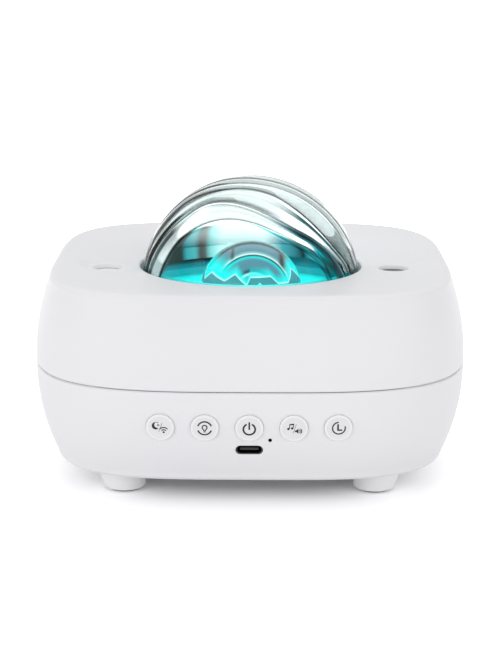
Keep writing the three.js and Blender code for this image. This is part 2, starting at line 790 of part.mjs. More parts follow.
function heatSinkBody() {
  const baseZ = sinkTopZ - heatSink.thick;
  let made = join(
    rod(heatSink.radius, baseZ, sinkTopZ, 0, 0, sides.middle),
    rod(heatSink.boss, sinkTopZ - joinDepth, deckTopZ - heatSink.bossDrop, 0, 0, sides.middle),
  );
  for (let i = 0; i < heatSink.finCount; i += 1) {
    const x = (i - (heatSink.finCount - 1) / 2) * heatSink.finPitch;
    const reach = Math.sqrt(heatSink.radius ** 2 - (Math.abs(x) + heatSink.fin / 2) ** 2);
    const [x0, x1] = [x - heatSink.fin / 2, x + heatSink.fin / 2];
    made = join(made, block(x0, x1, -reach, reach, finZ, baseZ + joinDepth));
  }
  return made;
}

function ledBoard() {
  return rod(led.boardRadius, ledBoardZ, ledBoardZ + led.boardThick, 0, 0, 6);
}

function ledEmitter() {
  const low = ledBoardZ + led.boardThick + seatGap;
  const shoulder = low + led.baseThick;
  const half = led.base / 2;
  const lens = turned(
    [
      [0, low],
      [led.lens, low],
      [led.lens, shoulder],
      [led.lens * Math.cos(Math.PI / 4), shoulder + led.lensHeight * Math.sin(Math.PI / 4)],
      [0, shoulder + led.lensHeight],
    ],
    sides.round,
  );
  return join(block(-half, half, -half, half, low, shoulder), solid(lens));
}

function laserBarrel(sign) {
  const neckZ = barrelBottomZ + laser.neckLength;
  const profile = [
    [0, barrelBottomZ],
    [laser.neck, barrelBottomZ],
    [laser.neck, neckZ],
    [laser.barrel, neckZ],
    [laser.barrel, barrelTopZ],
    [0, barrelTopZ],
  ];
  return solid(turned(profile, sides.round).translate(sign * laserX, laser.y, 0));
}

function laserWindow(sign) {
  return rod(laser.barrel, windowTopZ - laser.window, windowTopZ, sign * laserX, laser.y);
}

function footBody([sx, sy]) {
  const topZ = body.bottomZ - seatGap;
  const recessZ = foot.soleZ + pad.recess;
  const leanFromZ = foot.soleZ + foot.edge;
  const recess = pad.radius + seatGap;
  const profile = [
    [0, recessZ],
    [recess, recessZ],
    [recess, foot.soleZ],
    [foot.soleRadius - foot.edge, foot.soleZ],
    [foot.soleRadius, leanFromZ],
    [foot.topRadius, topZ],
    [foot.peg, topZ],
    [foot.peg, topZ + foot.pegLength],
    [0, topZ + foot.pegLength],
  ];
  const leaning = moved(turned(profile, sides.round), (p) => {
    const outside = Math.hypot(p.x, p.y) > recess + foot.lean / 10 || p.z > recessZ + seatGap;
    const share = outside ? Math.min(1, Math.max(0, (p.z - leanFromZ) / (topZ - leanFromZ))) : 0;
    p.x += sx * foot.lean * share;
    p.y += sy * foot.lean * share;
  });
  return solid(leaning.translate(sx * (footX - foot.lean), sy * (footY - foot.lean), 0));
}

function footPad([sx, sy]) {
  const [x, y] = [sx * (footX - foot.lean), sy * (footY - foot.lean)];
  return rod(pad.radius, 0, foot.soleZ + pad.recess - seatGap, x, y);
}

function buttonCap(i) {
  const x = buttonX(i);
  const face = frontAt(x, button.z) + button.proud;
  const profile = [
    [0, face],
    [button.radius - button.bevel, face],
    [button.radius, face - button.bevel],
    [button.radius, flangeFront],
    [capFlange, flangeFront],
    [capFlange, flangeBack],
    [button.stem, flangeBack],
    [button.stem, stemEnd],
    [0, stemEnd],
  ];
  const made = turned(profile, sides.round).rotateX(Math.PI / 2);
  const followFrom = face - button.bevel - seatGap;
  const shaped = moved(made, (p) => {
    if (-p.y > followFrom) p.y -= frontAt(x + p.x, button.z + p.z) - frontAt(x, button.z);
  });
  return solid(shaped.translate(x, 0, button.z));
}

function switchPlunger(i) {
  const near = switchFace - tactSwitch.plungerDepth;
  return frontRod(tactSwitch.plunger, near, plungerFace, buttonX(i), button.z, sides.small);
}

function controlBoardBody() {
  const [z0, z1] = [button.z - controlBoard.below, button.z + controlBoard.above];
  let board = block(-boardHalf, boardHalf, -boardFace, -boardBack, z0, z1);
  for (let i = 0; i < button.count; i += 1) {
    const x = buttonX(i);
    const { half, height, plunger, plungerDepth } = tactSwitch;
    const boreEnd = switchFace - plungerDepth - height / 4;
    const rear = -boardFace + joinDepth;
    board = join(board, block(x - half, x + half, -switchFace, rear, button.z - half, button.z + half));
    board = cut(board, frontRod(plunger + slideGap, boreEnd, switchFace + cutOver, x, button.z, sides.small));
  }
  return board;
}

function usbShell() {
  const near = boardFace + seatGap;
  const far = frontAt(0, usbZ) - usb.recess;
  const inner = 2 * usb.sheet;
  return cut(
    socketPrism(usb.width, usb.height, near, far),
    socketPrism(usb.width - inner, usb.height - inner, near - cutOver, far + cutOver),
  );
}

function usbTongue() {
  const near = boardFace + seatGap;
  const far = frontAt(0, usbZ) - 2 * usb.recess;
  const around = 2 * (usb.sheet + seatGap);
  const base = socketPrism(usb.width - around, usb.height - around, near, near + usb.height / 2);
  const half = (usb.width - around) / 2 - usb.recess;
  return join(base, block(-half, half, -far, -near, usbZ - usb.tongueThick / 2, usbZ + usb.tongueThick / 2));
}

function microphone() {
  const near = boardFace + seatGap;
  return frontRod(mic.radius, near, near + mic.length, micX, micZ, sides.round);
}

// What stands on the main board: x, y, half width, half depth and height, as shares of the board's half
// width, of its reach to the back and of the tallest part
const boardPartShares = [
  [-0.35, 0.1, 0.16, 0.22, 0.45],
  [0.45, 0.35, 0.2, 0.3, 0.8],
  [0.05, -0.6, 0.12, 0.12, 0.4],
  [-0.8, -0.35, 0.08, 0.2, 1],
  [0.8, -0.4, 0.08, 0.2, 1],
  [0, 0.8, 0.12, 0.12, 0.6],
  [-0.55, -0.75, 0.14, 0.14, 0.7],
  [0.45, -0.75, 0.1, 0.14, 0.6],
];

function mainBoardBody() {
  const { halfX, front, back } = mainBoard;
  let board = block(-halfX, halfX, -front, back, mainBoardZ, mainBoardTopZ);
  for (const [xs, ys, ws, ds, hs] of boardPartShares) {
    const [x, y, w, d] = [xs * halfX, ys * back, ws * halfX, ds * back];
    const topZ = mainBoardTopZ + hs * partHeight;
    board = join(board, block(x - w, x + w, y - d, y + d, mainBoardTopZ - joinDepth, topZ));
  }
  for (const [sx, sy] of Object.values(footSigns)) {
    const [x, y] = [sx * boardBossX, sy * boardBossY];
    board = cut(board, rod(boardBore, mainBoardZ - cutOver, mainBoardTopZ + cutOver, x, y, sides.small));
  }
  return board;
}

// A board screw is driven from above, so it is a case screw turned over
function boardScrewBody([sx, sy]) {
  const headZ = mainBoardTopZ + seatGap;
  const tipZ = mainBoardZ - boardScrew.engage;
  const made = screw(boardScrew, 0, headZ - tipZ, 0, 0);
  return made.rotate([180, 0, 0]).translate(sx * boardBossX, sy * boardBossY, headZ);
}

function speakerGasket() {
  const top = gasketZ + speaker.gasketThick;
  return cut(
    rod(speaker.radius, gasketZ, top, 0, 0, sides.middle),
    rod(speaker.ledge, gasketZ - cutOver, top + cutOver, 0, 0, sides.middle),
  );
}

function speakerBasket() {
  const backZ = basketBackZ + speaker.sheet;
  const shoulder = speaker.radius - speaker.ribWall;
  const profile = [
    [speaker.ledge, basketZ],
    [speaker.radius, basketZ],
    [speaker.radius, basketRimZ],
    [shoulder, basketRimZ],
    [speaker.neck, backZ],
    [0, backZ],
    [0, basketBackZ],
    [speaker.neck - speaker.sheet, basketBackZ],
    [shoulder - speaker.sheet, basketRimZ - speaker.flangeThick / 3],
    [speaker.ledge, basketRimZ - speaker.flangeThick / 3],
  ];
  let basket = solid(turned(profile, sides.middle));
  const middleZ = (basketRimZ + basketBackZ) / 2;
  const [w, h] = [speaker.windowWidth / 2, speaker.windowHeight / 2];
  const reach = speaker.radius;
  for (let i = 0; i < 2; i += 1) {
    const [x, y] = i ? [w, reach] : [reach, w];
    basket = cut(basket, block(-x, x, -y, y, middleZ - h, middleZ + h));
  }
  return basket;
}

function speakerMagnet() {
  return rod(speaker.magnetRadius, magnetZ, magnetZ + speaker.magnetThick, 0, 0, sides.middle);
}

function speakerCone() {
  const lipZ = basketRimZ;
  const neckZ = basketBackZ - speaker.frameDepth / 3;
  const coilTopZ = basketBackZ - seatGap;
  const lip = speaker.ledge - seatGap;
  const roll = speaker.ledge * 0.93;
  const rim = speaker.ledge * 0.84;
  const capZ = (lipZ + neckZ) / 2;
  const t = speaker.coneSheet;
  const profile = [
    [0, capZ],
    [speaker.coil * 0.7, capZ + t],
    [speaker.coil, neckZ - t],
    [rim, lipZ],
    [roll, basketZ + t],
    [lip, basketZ + t],
    [lip, lipZ],
    [roll, lipZ],
    [rim, lipZ + t],
    [speaker.coil + t / 2, neckZ],
    [speaker.coil, coilTopZ],
    [speaker.coil - speaker.coilWall, coilTopZ],
    [speaker.coil - speaker.coilWall, neckZ],
    [speaker.coil * 0.6, capZ + 2 * t],
    [0, capZ + t],
  ];
  return solid(turned(profile, sides.middle));
}

// A cable along a smooth curve through its points
function cable(points, radius, steps) {
  const curve = new THREE.CatmullRomCurve3(points.map((p) => new THREE.Vector3(...p)));
  const section = new THREE.Shape(
    Array.from({ length: 8 }, (_, i) => new THREE.Vector2(...onCircle(radius, i * 45))),
  );
  return solid(new THREE.ExtrudeGeometry(section, { steps, bevelEnabled: false, extrudePath: curve }));
}

const wire = 0.9;
const laserLead = 0.7;
const boardEdge = mainBoard.halfX;
const cables = {
  speaker_cable: [
    [18.8, 7.7, 20.4],
    [21.4, 8.8, 23],
    [boardEdge - 5.5, 11.2, 26],
    [boardEdge + 1.6, 12.8, 28.6],
    [boardEdge + 3.6, 13, 33.4],
    [boardEdge + 1, 12.6, 37],
    [boardEdge - 5.5, 12, 38.2],
    [boardEdge - 13, 11.4, 37.9],
  ],
  led_cable: [
    [0, -8.6, 52.1],
    [0, -11, 52.4],
    [0, -15.6, 52],
    [0, -18.5, 49.4],
    [0, -19, 45],
    [0.1, -19.2, 39.2],
    [0.7, -18.6, 37.2],
    [1.7, -15, 36.7],
  ],
  motor_cable: [
    [0, 36.2, 36.9],
    [0, 36.1, 35.2],
    [0, 32.8, 33.6],
    [0, 28, 35],
    [0, 24.4, 37.2],
    [0, 19.6, 37.3],
  ],
};
const laserRoute = [
  [laserX, laser.y, barrelBottomZ - seatGap],
  [laserX, laser.y, barrelBottomZ - 4.3],
  [laserX - 2.5, -11.8, 42],
  [41.6, -10.8, 38.8],
  [33.6, -10.2, 38.4],
  [27.4, -10, 38.35],
];

function cableBody(name) {
  return cable(cables[name], wire, 11);
}

function laserCable(sign) {
  return cable(laserRoute.map(([x, y, z]) => [sign * x, y, z]), laserLead, 10);
}

// A flat ribbon between the two boards: a thin strip in the YZ plane, given its width along X
const ribbon = { width: 12, thick: 0.6, sag: 5, entry: 3 };

function controlRibbon() {
  const from = new THREE.Vector2(-boardBack + seatGap, button.z + controlBoard.above - ribbon.entry);
  const to = new THREE.Vector2(-mainBoard.front + ribbon.entry, mainBoardTopZ + seatGap + ribbon.thick / 2);
  const reach = (to.x - from.x) / 3;
  const curve = new THREE.CubicBezierCurve(
    from,
    new THREE.Vector2(from.x + reach, from.y),
    new THREE.Vector2(to.x - reach, to.y + ribbon.sag),
    to,
  );
  const steps = 12;
  const edge = (offset) =>
    Array.from({ length: steps + 1 }, (_, i) => {
      const point = curve.getPoint(i / steps);
      const tangent = curve.getTangent(i / steps);
      return new THREE.Vector2(point.x - tangent.y * offset, point.y + tangent.x * offset);
    });
  const outline = [...edge(-ribbon.thick / 2), ...edge(ribbon.thick / 2).reverse()];
  const strip = new THREE.ExtrudeGeometry(new THREE.Shape(outline), {
    depth: ribbon.width,
    bevelEnabled: false,
  });
  const basis = new THREE.Matrix4().makeBasis(
    new THREE.Vector3(0, 1, 0),
    new THREE.Vector3(0, 0, 1),
    new THREE.Vector3(1, 0, 0),
  );
  return solid(strip.applyMatrix4(basis).translate(-ribbon.width / 2, 0, 0));
}

const finish = (color, roughness, metalness = 0, extra = {}) =>
  new THREE.MeshStandardMaterial({ color, roughness, metalness, ...extra });
const materials = {
  shell: finish(0xf2f2f4, 0.45),
  capWhite: finish(0xf4f4f6, 0.4),
  clear: finish(0xe8fbfb, 0.05, 0, { transparent: true, opacity: 0.35 }),
  innerClear: finish(0xa8eef0, 0.08, 0, { transparent: true, opacity: 0.45 }),
  smoke: finish(0x15181b, 0.08),
  reflector: finish(0xbfe9ea, 0.2, 0.3),
  darkPlastic: finish(0x2a2c30, 0.5),
  gearNylon: finish(0xe9e6da, 0.5),
  steel: finish(0xb9bcc0, 0.3, 1),
  aluminium: finish(0xc9ccd0, 0.4, 1),
  board: finish(0x1f6b46, 0.5),
  whiteBoard: finish(0xf4f4f0, 0.5),
  emitter: finish(0x9ffcf6, 0.2, 0, { emissive: 0x00e6e0 }),
  ferrite: finish(0x34363a, 0.6),
  paper: finish(0x202124, 0.8),
  foam: finish(0x3a3b3e, 0.95),
  rubber: finish(0xd9d9dc, 0.9),
  socket: finish(0x1b1c1e, 0.3, 0.6),
  lead: finish(0xd8d8da, 0.6),
};

const root = new THREE.Group();

function add(name, made, material) {
  const mesh = new THREE.Mesh(geometryOf(made), materials[material]);
  mesh.name = name;
  root.add(mesh);
}

add("upper_shell", upperShell(), "shell");
add("lower_shell", lowerShell(), "shell");
add("dome_lens", domeLens(), "clear");
add("dome_clamp_ring", domeClampRing(), "darkPlastic");
for (const [place, degrees] of Object.entries(clampDegrees)) {
  const [x, y] = onCircle(clampCircle, degrees);
  const tipZ = ringTopZ + seatGap + clampScrew.engage;
  add(`clamp_screw_${place}`, screw(clampScrew, deckBottomZ - seatGap, tipZ, x, y), "steel");
}
add("optics_deck", opticsDeck(), "darkPlastic");
add("reflector_bowl", reflectorBowl(), "reflector");
add("heat_sink", heatSinkBody(), "aluminium");
add("led_board", ledBoard(), "whiteBoard");
add("led_emitter", ledEmitter(), "emitter");
add("motor_body", motorBody(), "steel");
add("motor_pinion", motorPinion(), "gearNylon");
add("rotor_gear", rotorGear(), "gearNylon");
add("inner_dome", innerDomeLens(), "innerClear");
add("main_board", mainBoardBody(), "board");
add("board_screw_left", boardScrewBody([-1, 1]), "steel");
add("board_screw_right", boardScrewBody([1, 1]), "steel");
add("control_board", controlBoardBody(), "board");
add("usb_socket_shell", usbShell(), "socket");
add("usb_tongue", usbTongue(), "darkPlastic");
add("microphone", microphone(), "aluminium");
add("speaker_gasket", speakerGasket(), "foam");
add("speaker_basket", speakerBasket(), "ferrite");
add("speaker_magnet", speakerMagnet(), "ferrite");
add("speaker_cone", speakerCone(), "paper");
for (const [place, signs] of Object.entries(footSigns)) {
  add(`foot_${place}`, footBody(signs), "shell");
  add(`foot_pad_${place}`, footPad(signs), "rubber");
  const [x, y] = [signs[0] * footX, signs[1] * footY];
  const tipZ = bossJointZ + seatGap / 2 + caseScrew.engage;
  add(`case_screw_${place}`, screw(caseScrew, wellTopZ - seatGap, tipZ, x, y), "steel");
}
for (const [place, sign] of [["left", -1], ["right", 1]]) {
  add(`laser_barrel_${place}`, laserBarrel(sign), "darkPlastic");
  add(`laser_window_${place}`, laserWindow(sign), "smoke");
  add(`laser_cable_${place}`, laserCable(sign), "lead");
}
for (const name of Object.keys(cables)) add(name, cableBody(name), "lead");
add("control_ribbon", controlRibbon(), "lead");
buttonNames.forEach((name, i) => {
  add(`${name}_button`, buttonCap(i), "capWhite");
  add(`${name}_switch_plunger`, switchPlunger(i), "darkPlastic");
});

export default root;
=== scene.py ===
# The looks of a table-top star projector: a white case with a rippled clear dome, on a pale studio floor.
# Lengths below are in millimetres, as on the object, and meshes are made in metres.
import math

import bmesh
import bpy
from mathutils import Matrix, Vector
from mathutils.geometry import tessellate_polygon

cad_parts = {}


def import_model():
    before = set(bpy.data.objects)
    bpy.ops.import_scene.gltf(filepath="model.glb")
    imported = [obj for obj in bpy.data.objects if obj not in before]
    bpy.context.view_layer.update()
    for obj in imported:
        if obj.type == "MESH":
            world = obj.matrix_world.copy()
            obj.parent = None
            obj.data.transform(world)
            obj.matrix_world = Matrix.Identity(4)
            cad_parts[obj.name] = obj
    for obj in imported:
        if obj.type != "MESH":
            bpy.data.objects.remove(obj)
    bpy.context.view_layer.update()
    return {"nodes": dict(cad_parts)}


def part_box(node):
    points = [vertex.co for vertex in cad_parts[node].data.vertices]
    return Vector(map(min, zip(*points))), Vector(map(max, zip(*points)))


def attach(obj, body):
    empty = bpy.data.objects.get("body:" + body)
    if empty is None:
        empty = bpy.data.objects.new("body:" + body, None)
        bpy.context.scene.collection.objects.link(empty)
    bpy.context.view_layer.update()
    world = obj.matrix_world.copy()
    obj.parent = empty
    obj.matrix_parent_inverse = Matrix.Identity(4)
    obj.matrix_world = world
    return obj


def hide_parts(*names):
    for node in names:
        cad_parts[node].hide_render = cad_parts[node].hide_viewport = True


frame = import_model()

MM = 0.001
TAU = 2 * math.pi


def box_of(node):
    """A node's lowest and highest corners at rest, to a hundredth of a millimetre."""
    return [[round(value / MM, 2) for value in corner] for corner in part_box(node)]


def middle_of(node):
    return [round((low + high) / 2, 2) for low, high in zip(*box_of(node))]


# The case, as wide and high as its two solids
UPPER_BOX = box_of("upper_shell")
LOWER_BOX = box_of("lower_shell")
HALF = UPPER_BOX[1][0]
BOTTOM_Z = LOWER_BOX[0][2]
SEAM_GAP = 0.3
SEAM_Z = round(UPPER_BOX[0][2] - SEAM_GAP / 2, 2)
CREST_Z = UPPER_BOX[1][2]
RIM_DROP = 3.0
RIM_Z = round(CREST_Z - RIM_DROP, 2)
UPPER_BULGE = 82.5
LOWER_BULGE = 70.0
EDGE = 2.1
BOTTOM_EDGE = 2.0
SEAM_POWER = 3.4
END_POWER = 3.9
WALL = 2.4
SEAM_EDGE = 0.35
SIDE_TOP_Z = CREST_Z - EDGE
SIDE_BOTTOM_Z = BOTTOM_Z + BOTTOM_EDGE
AROUND = 288
SIDE_STEPS = 20
EDGE_STEPS = 8
INSIDE_STEPS = 6
TOP_STEPS = 25
TOP_BEND = 0.35

# The outer dome and the collar that it stands in
DOME_RADIUS = 39.65
DOME_SINK = 7.6
DOME_Z = round(RIM_Z - DOME_SINK, 2)
DOME_WALL = 2.2
DOME_HOLE = 40.2
HOLE_LIP = 1.0
COLLAR_Z = 65.3
COLLAR_WALL = 2.0
DOME_BOX = box_of("dome_lens")
FLANGE_RADIUS = DOME_BOX[1][1]
FLANGE_LOW_Z = DOME_BOX[0][2]
FLANGE_THICK = 2.2
FLANGE_HIGH_Z = FLANGE_LOW_Z + FLANGE_THICK
SKIRT_Z = 69.9

# The turning dome and the bowl round it
INNER_BOX = box_of("inner_dome")
INNER_RADIUS = 18.5
INNER_Z = 60.0
INNER_WALL = 1.8
INNER_FLANGE = 1.4
BOWL_BOX = box_of("reflector_bowl")
BOWL_GAP = 1.6
BOWL_KNEE = 36.6
BOWL_THICK = 1.2
BOWL_STEPS = 16
BOWL_SEGMENTS = 160
BOWL_POWER = 1.5

# The five keys on the front
BUTTON_NAMES = ("wireless", "colour", "power", "sound", "timer")
BUTTON_PITCH = middle_of("sound_button")[0]
BUTTON_Z = middle_of("power_button")[2]
BUTTON_RADIUS = 4.7
BUTTON_PROUD = 0.84
BUTTON_ROUND = 0.55
FACE_RADIUS = 3.75
FACE_PROUD = 0.72
PRINT_PROUD = 0.77
PRINT_SUNK = 0.05
FLANGE_WIDTH = 1.05
FLANGE_FRONT = 3.4
FLANGE_BACK = 4.5
HOLE_RADIUS = 4.95
HOLE_DEEP = 9.0
FOLLOW_DEEP = 2.0

# The socket's slot and the microphone's hole. Their walls are painted black as painted shade inside the
# holes, in front of PORT_Y.
SLOT_WIDTH = 9.84
SLOT_HEIGHT = 3.96
SLOT_Z = middle_of("usb_socket_shell")[2]
SLOT_LIP = 0.38
SLOT_EDGE = 0.3
SLOT_DEEP = 9.0
PIN_X, _, PIN_Z = middle_of("microphone")
PIN_RADIUS = 0.6
PIN_DEEP = 6.0
PORT_EDGE = 0.03
PORT_Y = -60.0

# The laser openings, each in a level patch of the top
LASER_X = 51.0
LASER_Y = middle_of("laser_window_right")[1]
WINDOW_TOP = box_of("laser_window_right")[1][2]
WINDOW_POCKET = 5.5
WINDOW_MOUTH = 4.95
POCKET_DEEP = 1.8
DISH_RADIUS = 5.62
LEVEL_RADIUS = 6.6
LEVEL_FADE = 5.0
LEVEL_DROP = 0.15
LEVEL_SAMPLE = 2.0

# The feet and their pads
FOOT_X, FOOT_Y = (round(value, 1) for value in middle_of("foot_pad_rear_right")[:2])
FOOT_LEAN = 1.5
SOLE_Z = 0.8
SOLE_RADIUS = 7.3
SOLE_ROUND = 0.8
FOOT_TOP_RADIUS = 9.1
PAD_POCKET = 6.0
PAD_RADIUS = 5.7
PAD_HIGH = 2.1
PAD_ROUND = 0.5

# The loudspeaker's slots in the bottom
GRILLE_COUNT = 7
GRILLE_PITCH = 5.2
GRILLE_RADIUS = 18.0
GRILLE_SLOT = 2.6
GRILLE_EDGE = 0.3

# The photograph's size in pixels, and the camera that fits the outlines in it
PICTURE_WIDE = 500
PICTURE_HIGH = 670
LENS_X = 250.5
LENS_Y = 329.1
FOCAL_PIXELS = 1779.8
CAMERA_DISTANCE = 655.0
CAMERA_AIM_Z = 46.0
CAMERA_ELEVATION = 13.48
CAMERA_TURN = 0.22
CAMERA_ROLL = 0.2
SENSOR_WIDTH = 36.0

# The floor: how far out it is lifted, and by how much. The near lift is painted light that cuts the
# object's shadow short.
FLOOR_RADIUS = 30000
NEAR_REACH = (42.0, 66.0)
NEAR_PAINTED_LIGHT = 0.42
FAR_REACH = (105.0, 600.0)
FAR_LIFT = 0.7

# The lamps in metres and watts: place, what they aim at, width and height, and power
LAMPS = {
    "key": ((-1.9, -1.5, 0.7), (0, 0, 0.04), (1.6, 1.2), 16.0),
    "fill": ((1.95, -1.35, 0.6), (0, 0, 0.04), (1.6, 1.2), 11.3),
    "low": ((0.0, -1.9, 0.22), (0, 0, 0.02), (2.2, 0.4), 3.2),
    "top": ((0.0, 0.85, 1.8), (0, 0, 0.04), (2.0, 2.0), 13.0),
}
WORLD_TINT = (0.985, 0.985, 1.0, 1)
WORLD_LIGHT = 0.62


def clamp(value, low=0.0, high=1.0):
    return min(high, max(low, value))


def half_at(z):
    """Half the case's width at a height. Its sides are arcs that are widest at the seam."""
    bulge = UPPER_BULGE if z > SEAM_Z else LOWER_BULGE
    return HALF - (bulge - math.sqrt(bulge * bulge - (z - SEAM_Z) ** 2))


def power_at(z):
    """The power of the outline's rounded square, which grows from the seam to both ends."""
    end = SIDE_TOP_Z if z > SEAM_Z else SIDE_BOTTOM_Z
    share = clamp(abs((z - SEAM_Z) / (end - SEAM_Z)))
    return SEAM_POWER + (END_POWER - SEAM_POWER) * share


def front_at(x, z):
    """How far the front wall stands in front of the middle."""
    power = power_at(z)
    return (half_at(z) ** power - abs(x) ** power) ** (1 / power)


def squareness(angle, z):
    """The outline's radius at an angle, for a case of half width one."""
    power = power_at(z)
    return (abs(math.cos(angle)) ** power + abs(math.sin(angle)) ** power) ** (-1 / power)


# Mesh helpers
def soften(mesh, angle=40.0):
    """Smooth shading, with sharp edges past an angle in degrees."""
    mesh.shade_smooth()
    mesh.set_sharp_from_angle(angle=math.radians(angle))


def linked(name, data):
    """A new object in the scene, from a mesh, a lamp or a camera."""
    obj = bpy.data.objects.new(name, data)
    bpy.context.scene.collection.objects.link(obj)
    return obj


def new_object(name, bm, materials=(), smooth=True):
    """Makes a mesh object from a bmesh in millimetres."""
    bmesh.ops.scale(bm, vec=(MM, MM, MM), verts=bm.verts)
    bmesh.ops.recalc_face_normals(bm, faces=bm.faces)
    mesh = bpy.data.meshes.new(name)
    bm.to_mesh(mesh)
    bm.free()
    for material in materials:
        mesh.materials.append(material)
    if smooth:
        soften(mesh)
    return linked(name, mesh)


def bridge(bm, low, high):
    """Makes faces between two rings of points. A ring of one point is a tip."""
    count = max(len(low), len(high))
    if count == 1:
        return
    for i in range(count):
        j = (i + 1) % count
        if len(low) == 1:
            corners = (low[0], high[j], high[i])
        elif len(high) == 1:
            corners = (low[i], low[j], high[0])
        else:
            corners = (low[i], low[j], high[j], high[i])
        bm.faces.new(corners)


def lathe(profile, segments=96, shape=None):
    """Turns [radius, z] points about Z. A profile off the axis closes on itself."""
    bm = bmesh.new()
    rings = []
    for radius, z in profile:
        if radius == 0:
            rings.append([bm.verts.new((0, 0, z))])
            continue
        ring = []
        for i in range(segments):
            angle = TAU * i / segments
            r = shape(radius, z, angle) if shape else radius
            ring.append(bm.verts.new((r * math.cos(angle), r * math.sin(angle), z)))
        rings.append(ring)
    if len(rings[0]) > 1 and len(rings[-1]) > 1:
        rings.append(rings[0])
    for low, high in zip(rings, rings[1:]):
        bridge(bm, low, high)
    return bm


def moved(bm, x, y, z=0.0):
    bmesh.ops.translate(bm, vec=(x, y, z), verts=bm.verts)
    return bm


def arc(centre, radius, start, end, steps):
    """Points of an arc, from one angle in degrees to another."""
    points = []
    for i in range(steps + 1):
        angle = math.radians(start + (end - start) * i / steps)
        points.append((centre[0] + radius * math.cos(angle), centre[1] + radius * math.sin(angle)))
    return points


def boolean(obj, cutters, operation="DIFFERENCE"):
    """Cuts other objects out of one or joins them to it, and removes them."""
    for cutter in cutters:
        modifier = obj.modifiers.new("cut", "BOOLEAN")
        modifier.operation = operation
        modifier.solver = "MANIFOLD"
        modifier.object = cutter
    depsgraph = bpy.context.evaluated_depsgraph_get()
    mesh = bpy.data.meshes.new_from_object(obj.evaluated_get(depsgraph))
    obj.modifiers.clear()
    old = obj.data
    obj.data = mesh
    mesh.name = old.name
    # A mesh that is removed takes its object along
    for unused in [old] + [cutter.data for cutter in cutters]:
        bpy.data.meshes.remove(unused)
    soften(mesh)
    return obj


def front_turned(profile, x, z, segments=96):
    """Turns [radius, distance outwards] points about Y. All but the deepest follow the case's front."""
    bm = lathe(profile, segments)
    base = front_at(x, z)
    for vert in bm.verts:
        u, v, out = vert.co.x, vert.co.y, vert.co.z
        shift = front_at(x + u, z + v) - base if out > -FOLLOW_DEEP else 0.0
        vert.co = Vector((x + u, -(base + out + shift), z + v))
    return bm


# Material helpers
def set_input(node, name, value):
    """Sets the first input of a name, which is written in lower case with underscores."""
    socket = next(s for s in node.inputs if s.name.lower() == name.replace("_", " "))
    socket.default_value = value


